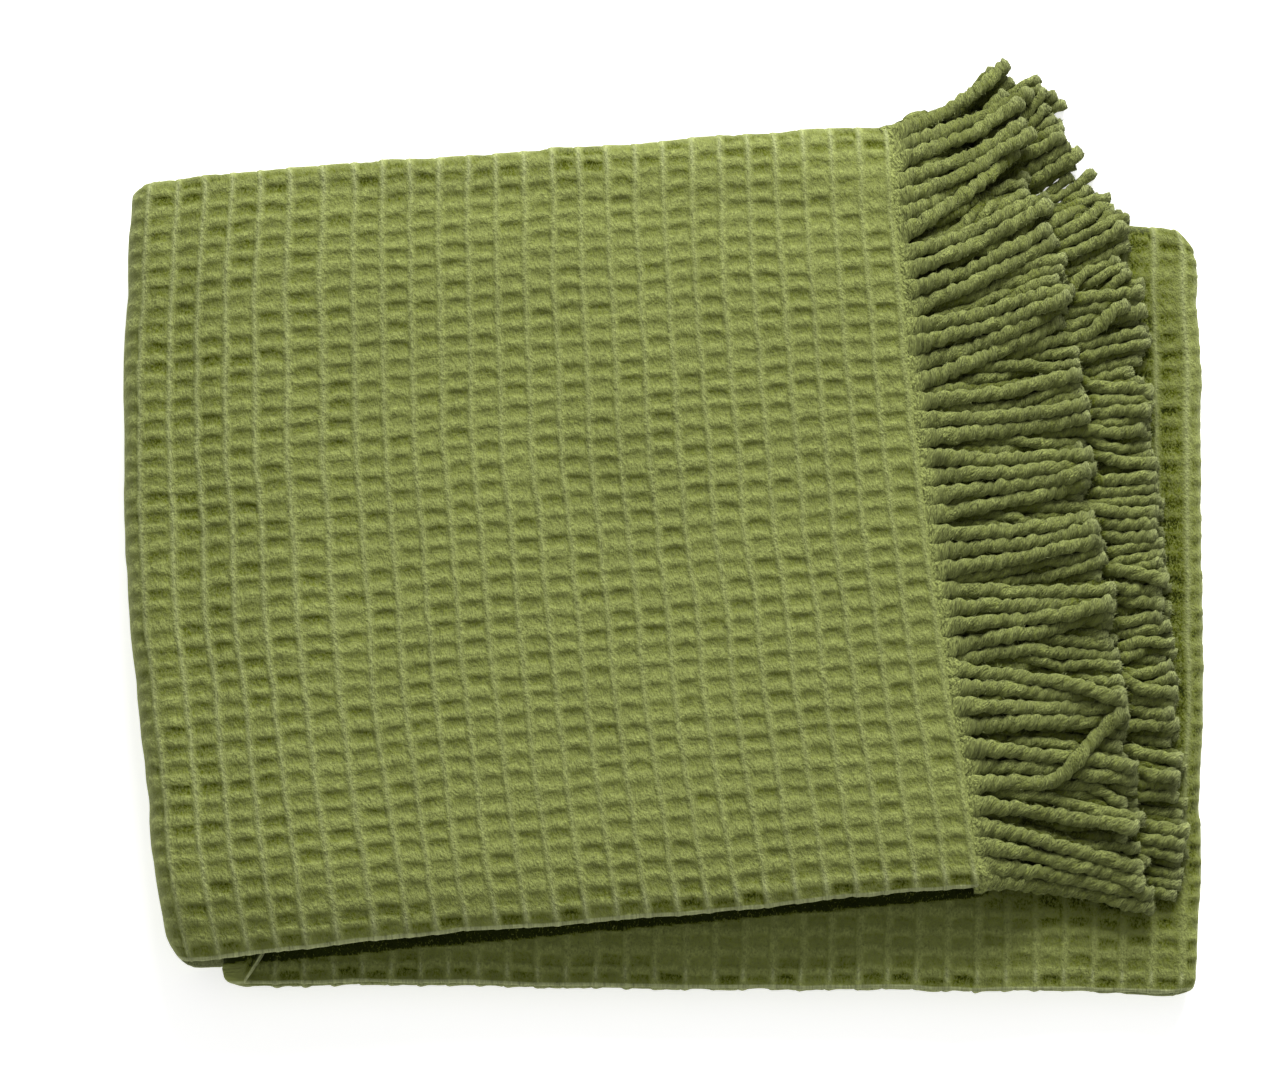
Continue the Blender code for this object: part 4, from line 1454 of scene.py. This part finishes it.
# %% Cloth that lies in a shelter
EDGE_DEPTH = 1.6                # painted shadow in the slit, so much that no single thread shows there
CORD_SHELTER = 0.38             # share of painted shade close to the cords
SHELTER_HEIGHT = 25.0           # cloth above this height lies in no shelter
CALM_FROM = -128.0              # in front of this place the crests lose their paleness,
CALM_RUN = 24.0
CALM_SHARE = 0.8                # by this share
CALM_CREST = 0.45               # but what is paler than this is a rim, and stays


def values_of(piece, name):
    """The values of a piece's attribute, as an array."""
    attribute = piece.data.attributes[name].data
    values = np.empty(len(attribute), np.float32)
    attribute.foreach_get("value", values)
    return values


def shelter(piece):
    """Paints shade into the colour of a piece of cloth where it lies in a shelter."""
    points = np.empty(3 * len(piece.data.vertices), np.float32)
    piece.data.vertices.foreach_get("co", points)
    points = points.reshape(-1, 3) / MM
    under = under_edge(points[:, 0] + CENTRE[0], points[:, 1] + CENTRE[1])
    dark = np.maximum(EDGE_DEPTH * under, CORD_SHELTER * near_cords(points))
    dark = np.where(points[:, 2] < SHELTER_HEIGHT, dark, 0.0)
    deep, crest = values_of(piece, "deep"), values_of(piece, "cut")
    calm = CALM_SHARE * smooth_step((CALM_FROM - points[:, 1]) / CALM_RUN)
    crest = np.where(crest < CALM_CREST, crest * (1.0 - np.maximum(under, calm)), crest)
    piece.data.attributes["deep"].data.foreach_set("value", deep + dark.astype(np.float32))
    piece.data.attributes["cut"].data.foreach_set("value", crest.astype(np.float32))
    print(piece.name, "is sheltered at", int((dark > 0.1).sum()), "of its points")


throw_lower = cloth[2]
shelter(throw_lower)

# %% [markdown]
# A material is a small network of nodes. These helpers keep it readable: one adds a node and links
# or sets its inputs, the others are short words for the nodes that are used most, and the last
# one starts a node group, which is a network with named inputs and outputs of its own.

# %% Short words for nodes
def add_node(tree, kind, inputs=None, **settings):
    """A node with its settings, and with its inputs linked or set."""
    made = tree.nodes.new("ShaderNode" + kind)
    for name, value in settings.items():
        setattr(made, name, value)
    for name, value in (inputs or {}).items():
        if isinstance(value, bpy.types.NodeSocket):
            tree.links.new(value, made.inputs[name])
        else:
            made.inputs[name].default_value = value
    return made


def calculate(tree, operation, *values):
    """The result of a Math node."""
    return add_node(tree, "Math", dict(enumerate(values)), operation=operation).outputs[0]


def mixed_colour(tree, share, first, second, way="MIX"):
    """The result of a Mix node for colours."""
    made = add_node(tree, "Mix", {0: share, 6: first, 7: second}, data_type="RGBA",
                    blend_type=way)
    return made.outputs[2]


def patches(tree, place, size, detail):
    """Noise around zero, from about -0.3 to 0.3, with patches of a size in mm."""
    made = add_node(tree, "TexNoise", {"Vector": place, "Scale": 1.0 / size, "Detail": detail,
                                       "Roughness": 0.6})
    return calculate(tree, "SUBTRACT", made.outputs["Fac"], 0.5)


def new_group(name, inputs, outputs):
    """An empty node group with its named sockets, and its two end nodes."""
    tree = bpy.data.node_groups.new(name, "ShaderNodeTree")
    for socket, kind in inputs:
        tree.interface.new_socket(socket, in_out="INPUT", socket_type="NodeSocket" + kind)
    for socket, kind in outputs:
        tree.interface.new_socket(socket, in_out="OUTPUT", socket_type="NodeSocket" + kind)
    return tree, tree.nodes.new("NodeGroupInput").outputs, tree.nodes.new("NodeGroupOutput").inputs


helpers = (add_node, calculate, mixed_colour, patches, new_group)
print("helpers:", ", ".join(helper.__name__ for helper in helpers))

# %% [markdown]
# The cotton is brushed: short fibres stand up all over it, scatter the light, and blur the
# threads. A photograph could be wrapped round the cloth, but it would repeat, stretch at the
# folds and hold shadows of its own. So the finish is worked out from each point's place in the
# weave. What both cottons share is one node group: a slow drift of the dye, uneven threads, and
# a fine grain of fibres. It also paints shade into the hollows: their colour turns first to a deep
# and saturated one, where light bounces off more cotton, and then to a dark one, where hardly any
# light gets in. Single fibres that cross a hollow catch the light, so its painted shade is combed
# by the grain.

# %% The brushed cotton, as a node group
DRIFT_SIZE = 48.0               # sizes of the patches in mm
THREAD_SIZE = 1.9
FIBRE_SIZE = 0.7
DRIFT_SHARE = 0.16              # how much lighter or darker they make the colour
THREAD_SHARE = 0.5
SHADE_GAIN = 1.41                # a hollow of 0.71 has the painted shade's deep colour,
DARK_GAIN = 3.44                # and from there to 1 the colour turns to the dark one
DARK_FROM = 2.44
COMB = 5.0                      # in a hollow, single fibres catch the light by this
DULLNESS = 0.96                 # the cotton's roughness,
THREAD_SHINE = 0.5              # which its threads make less even
THREAD_HEIGHT = 3.0             # weight of the threads in the bump, where the fibres have 1
# Hollow is the shade painted into a point; the pale share is its paleness
GROUP_INPUTS = (
    ("Colour", "Color"), ("Shade Colour", "Color"), ("Dark Colour", "Color"),
    ("Pale Colour", "Color"), ("Place", "Vector"), ("Stretch", "Vector"), ("Hollow", "Float"),
    ("Pale Share", "Float"), ("Speckle", "Float"), ("Fibre Depth", "Float"),
)
GROUP_OUTPUTS = (("Colour", "Color"), ("Roughness", "Float"), ("Height", "Float"))


def brushed_cotton_group():
    """The finish that the cloth and the cords share."""
    tree, given, result = new_group("brushed_cotton", GROUP_INPUTS, GROUP_OUTPUTS)
    stretched = add_node(tree, "VectorMath", {0: given["Place"], 1: given["Stretch"]},
                         operation="MULTIPLY").outputs[0]
    drift = calculate(tree, "MULTIPLY", patches(tree, given["Place"], DRIFT_SIZE, 2.0), DRIFT_SHARE)
    thread = calculate(tree, "MULTIPLY", patches(tree, stretched, THREAD_SIZE, 2.0), THREAD_SHARE)
    fibre = patches(tree, stretched, FIBRE_SIZE, 3.0)
    light = calculate(tree, "ADD", drift, thread)
    light = calculate(tree, "ADD", light, calculate(tree, "MULTIPLY", fibre, given["Speckle"]))
    light = calculate(tree, "ADD", light, 1.0)
    comb = calculate(tree, "ADD", calculate(tree, "MULTIPLY", fibre, COMB), 1.0)
    hollow = calculate(tree, "MULTIPLY", given["Hollow"], comb)
    deep = calculate(tree, "MULTIPLY", hollow, SHADE_GAIN)
    dark = calculate(tree, "SUBTRACT", calculate(tree, "MULTIPLY", hollow, DARK_GAIN), DARK_FROM)
    colour = mixed_colour(tree, deep, given["Colour"], given["Shade Colour"])
    colour = mixed_colour(tree, dark, colour, given["Dark Colour"])
    colour = mixed_colour(tree, given["Pale Share"], colour, given["Pale Colour"])
    scaled = add_node(tree, "VectorMath", {0: colour, "Scale": light}, operation="SCALE")
    tree.links.new(scaled.outputs[0], result["Colour"])
    uneven = calculate(tree, "MULTIPLY", thread, THREAD_SHINE)
    tree.links.new(calculate(tree, "SUBTRACT", DULLNESS, uneven), result["Roughness"])
    height = calculate(tree, "ADD", fibre, calculate(tree, "MULTIPLY", thread, THREAD_HEIGHT))
    tree.links.new(calculate(tree, "MULTIPLY", height, given["Fibre Depth"]), result["Height"])
    return tree


BRUSHED = brushed_cotton_group()
print(BRUSHED.name, "takes", [socket for socket, kind in GROUP_INPUTS])

# %% [markdown]
# The cloth and the cords are spun from the same olive cotton. On the cloth the fibres lie across
# the throw, along its floating threads. On a cord they follow its plies, and the cut tips are
# frayed and a little paler. A weak sheen stands for the fibres that stick out and catch the
# light at a low angle.

# %% The two cottons
OLIVE = (0.210, 0.238, 0.070, 1.0)
# the painted shade of the hollows, and the dark of the painted shadow
SHADE_OLIVE = (0.070, 0.085, 0.001, 1.0)
DARK_OLIVE = (0.016, 0.022, 0.001, 1.0)
# pale of frayed tips, and of crests, rims and folds from wear and painted highlight
PALE_OLIVE = (0.350, 0.380, 0.190, 1.0)
SHEEN_TINT = (0.80, 0.86, 0.45, 1.0)
SHEEN_ROUGHNESS = 0.5
SPECULAR = 0.1                  # fibres hardly shine


def cotton(name, stretch, speckle, fibre_depth, sheen):
    """A material of brushed cotton."""
    material = bpy.data.materials.new(name)
    material.use_nodes = True
    tree = material.node_tree
    shader = tree.nodes["Principled BSDF"]
    shader.inputs["Specular IOR Level"].default_value = SPECULAR
    shader.inputs["Sheen Weight"].default_value = sheen
    shader.inputs["Sheen Roughness"].default_value = SHEEN_ROUGHNESS
    shader.inputs["Sheen Tint"].default_value = SHEEN_TINT
    place = add_node(tree, "Attribute", attribute_name="weave").outputs["Vector"]
    # the shade painted into each point, and its pale share
    deep = add_node(tree, "Attribute", attribute_name="deep").outputs["Fac"]
    pale_socket = add_node(tree, "Attribute", attribute_name="cut").outputs["Fac"]
    brushed = add_node(tree, "Group", node_tree=BRUSHED)
    given = {
        "Colour": OLIVE, "Shade Colour": SHADE_OLIVE, "Dark Colour": DARK_OLIVE,
        "Pale Colour": PALE_OLIVE, "Stretch": stretch, "Speckle": speckle,
        "Fibre Depth": fibre_depth,
    }
    for socket, value in given.items():
        brushed.inputs[socket].default_value = value
    tree.links.new(place, brushed.inputs["Place"])
    tree.links.new(deep, brushed.inputs["Hollow"])
    tree.links.new(pale_socket, brushed.inputs["Pale Share"])
    tree.links.new(brushed.outputs["Colour"], shader.inputs["Base Color"])
    tree.links.new(brushed.outputs["Roughness"], shader.inputs["Roughness"])
    bump = add_node(tree, "Bump", {"Height": brushed.outputs["Height"], "Distance": MM})
    tree.links.new(bump.outputs["Normal"], shader.inputs["Normal"])
    return material


waffle_cotton = cotton("waffle_cotton", (1.0, 0.6, 1.0), 1.7, 0.6, 0.08)
twisted_yarn = cotton("twisted_yarn", (0.7, 0.8, 1.0), 3.2, 1.5, 0.10)
print("materials:", waffle_cotton.name, "and", twisted_yarn.name)

# %% [markdown]
# Each piece now gets its cotton, is attached to the body of the model that it belongs to, and
# hides the solid that it stands for.

# %% Dressing the pieces
for piece in cloth:
    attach(piece, "root")
    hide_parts("throw")
    piece.data.materials.append(waffle_cotton)
for name, piece in fringes.items():
    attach(piece, "root")
    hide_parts("_".join(name.split("_")[:2]))
    piece.data.materials.append(twisted_yarn)

# %% [markdown]
# The throw needs light to be seen by, and a floor to lie on. The light is that of a plain
# studio. A broad soft light behind the throw grazes it, so that each pit is dark on its far
# side, and a white world fills the shadows. The floor is white and shines a little itself, as a
# lit table does, so that the pile stands on a clean pale ground.

# %% Light and floor
WORLD_LIGHT = 0.46
KEY_POWER = 205.0
KEY_SIZE = 1.6
KEY_DISTANCE = 3.2
KEY_ELEVATION = 25.0
KEY_TURN = 12.0                 # to the right of straight behind
FLOOR_COLOUR = (0.92, 0.92, 0.91, 1.0)
FLOOR_GLOW = 0.60
FLOOR_ROUGHNESS = 0.8
FLOOR_SIZE = 12.0
WHITE = (1.0, 1.0, 1.0, 1.0)


def make_light():
    light = bpy.data.objects.new("key", bpy.data.lights.new("key", "AREA"))
    bpy.context.scene.collection.objects.link(light)
    elevation, turn = math.radians(KEY_ELEVATION), math.radians(KEY_TURN)
    way = Vector((math.sin(turn) * math.cos(elevation), math.cos(turn) * math.cos(elevation),
                  math.sin(elevation)))
    light.location = way * KEY_DISTANCE
    light.rotation_euler = way.to_track_quat("Z", "Y").to_euler()
    light.data.size = KEY_SIZE
    light.data.energy = KEY_POWER


def make_world():
    world = bpy.data.worlds.new("studio")
    bpy.context.scene.world = world
    world.use_nodes = True
    world.node_tree.nodes["Background"].inputs["Color"].default_value = WHITE
    world.node_tree.nodes["Background"].inputs["Strength"].default_value = WORLD_LIGHT


def make_floor():
    corners = 0.5 * FLOOR_SIZE / MM * np.array([(-1, -1, 0), (1, -1, 0), (1, 1, 0), (-1, 1, 0)])
    floor = mesh_object("floor", corners.astype(float), [(0, 1, 2, 3)])
    material = bpy.data.materials.new("pale_floor")
    material.use_nodes = True
    shader = material.node_tree.nodes["Principled BSDF"]
    shader.inputs["Base Color"].default_value = FLOOR_COLOUR
    shader.inputs["Roughness"].default_value = FLOOR_ROUGHNESS
    shader.inputs["Emission Color"].default_value = WHITE
    shader.inputs["Emission Strength"].default_value = FLOOR_GLOW
    floor.data.materials.append(material)


make_light()
make_world()
make_floor()
bpy.context.scene.view_settings.view_transform = "Standard"
print("light of", KEY_POWER, "W from", KEY_ELEVATION, "degrees above the floor")
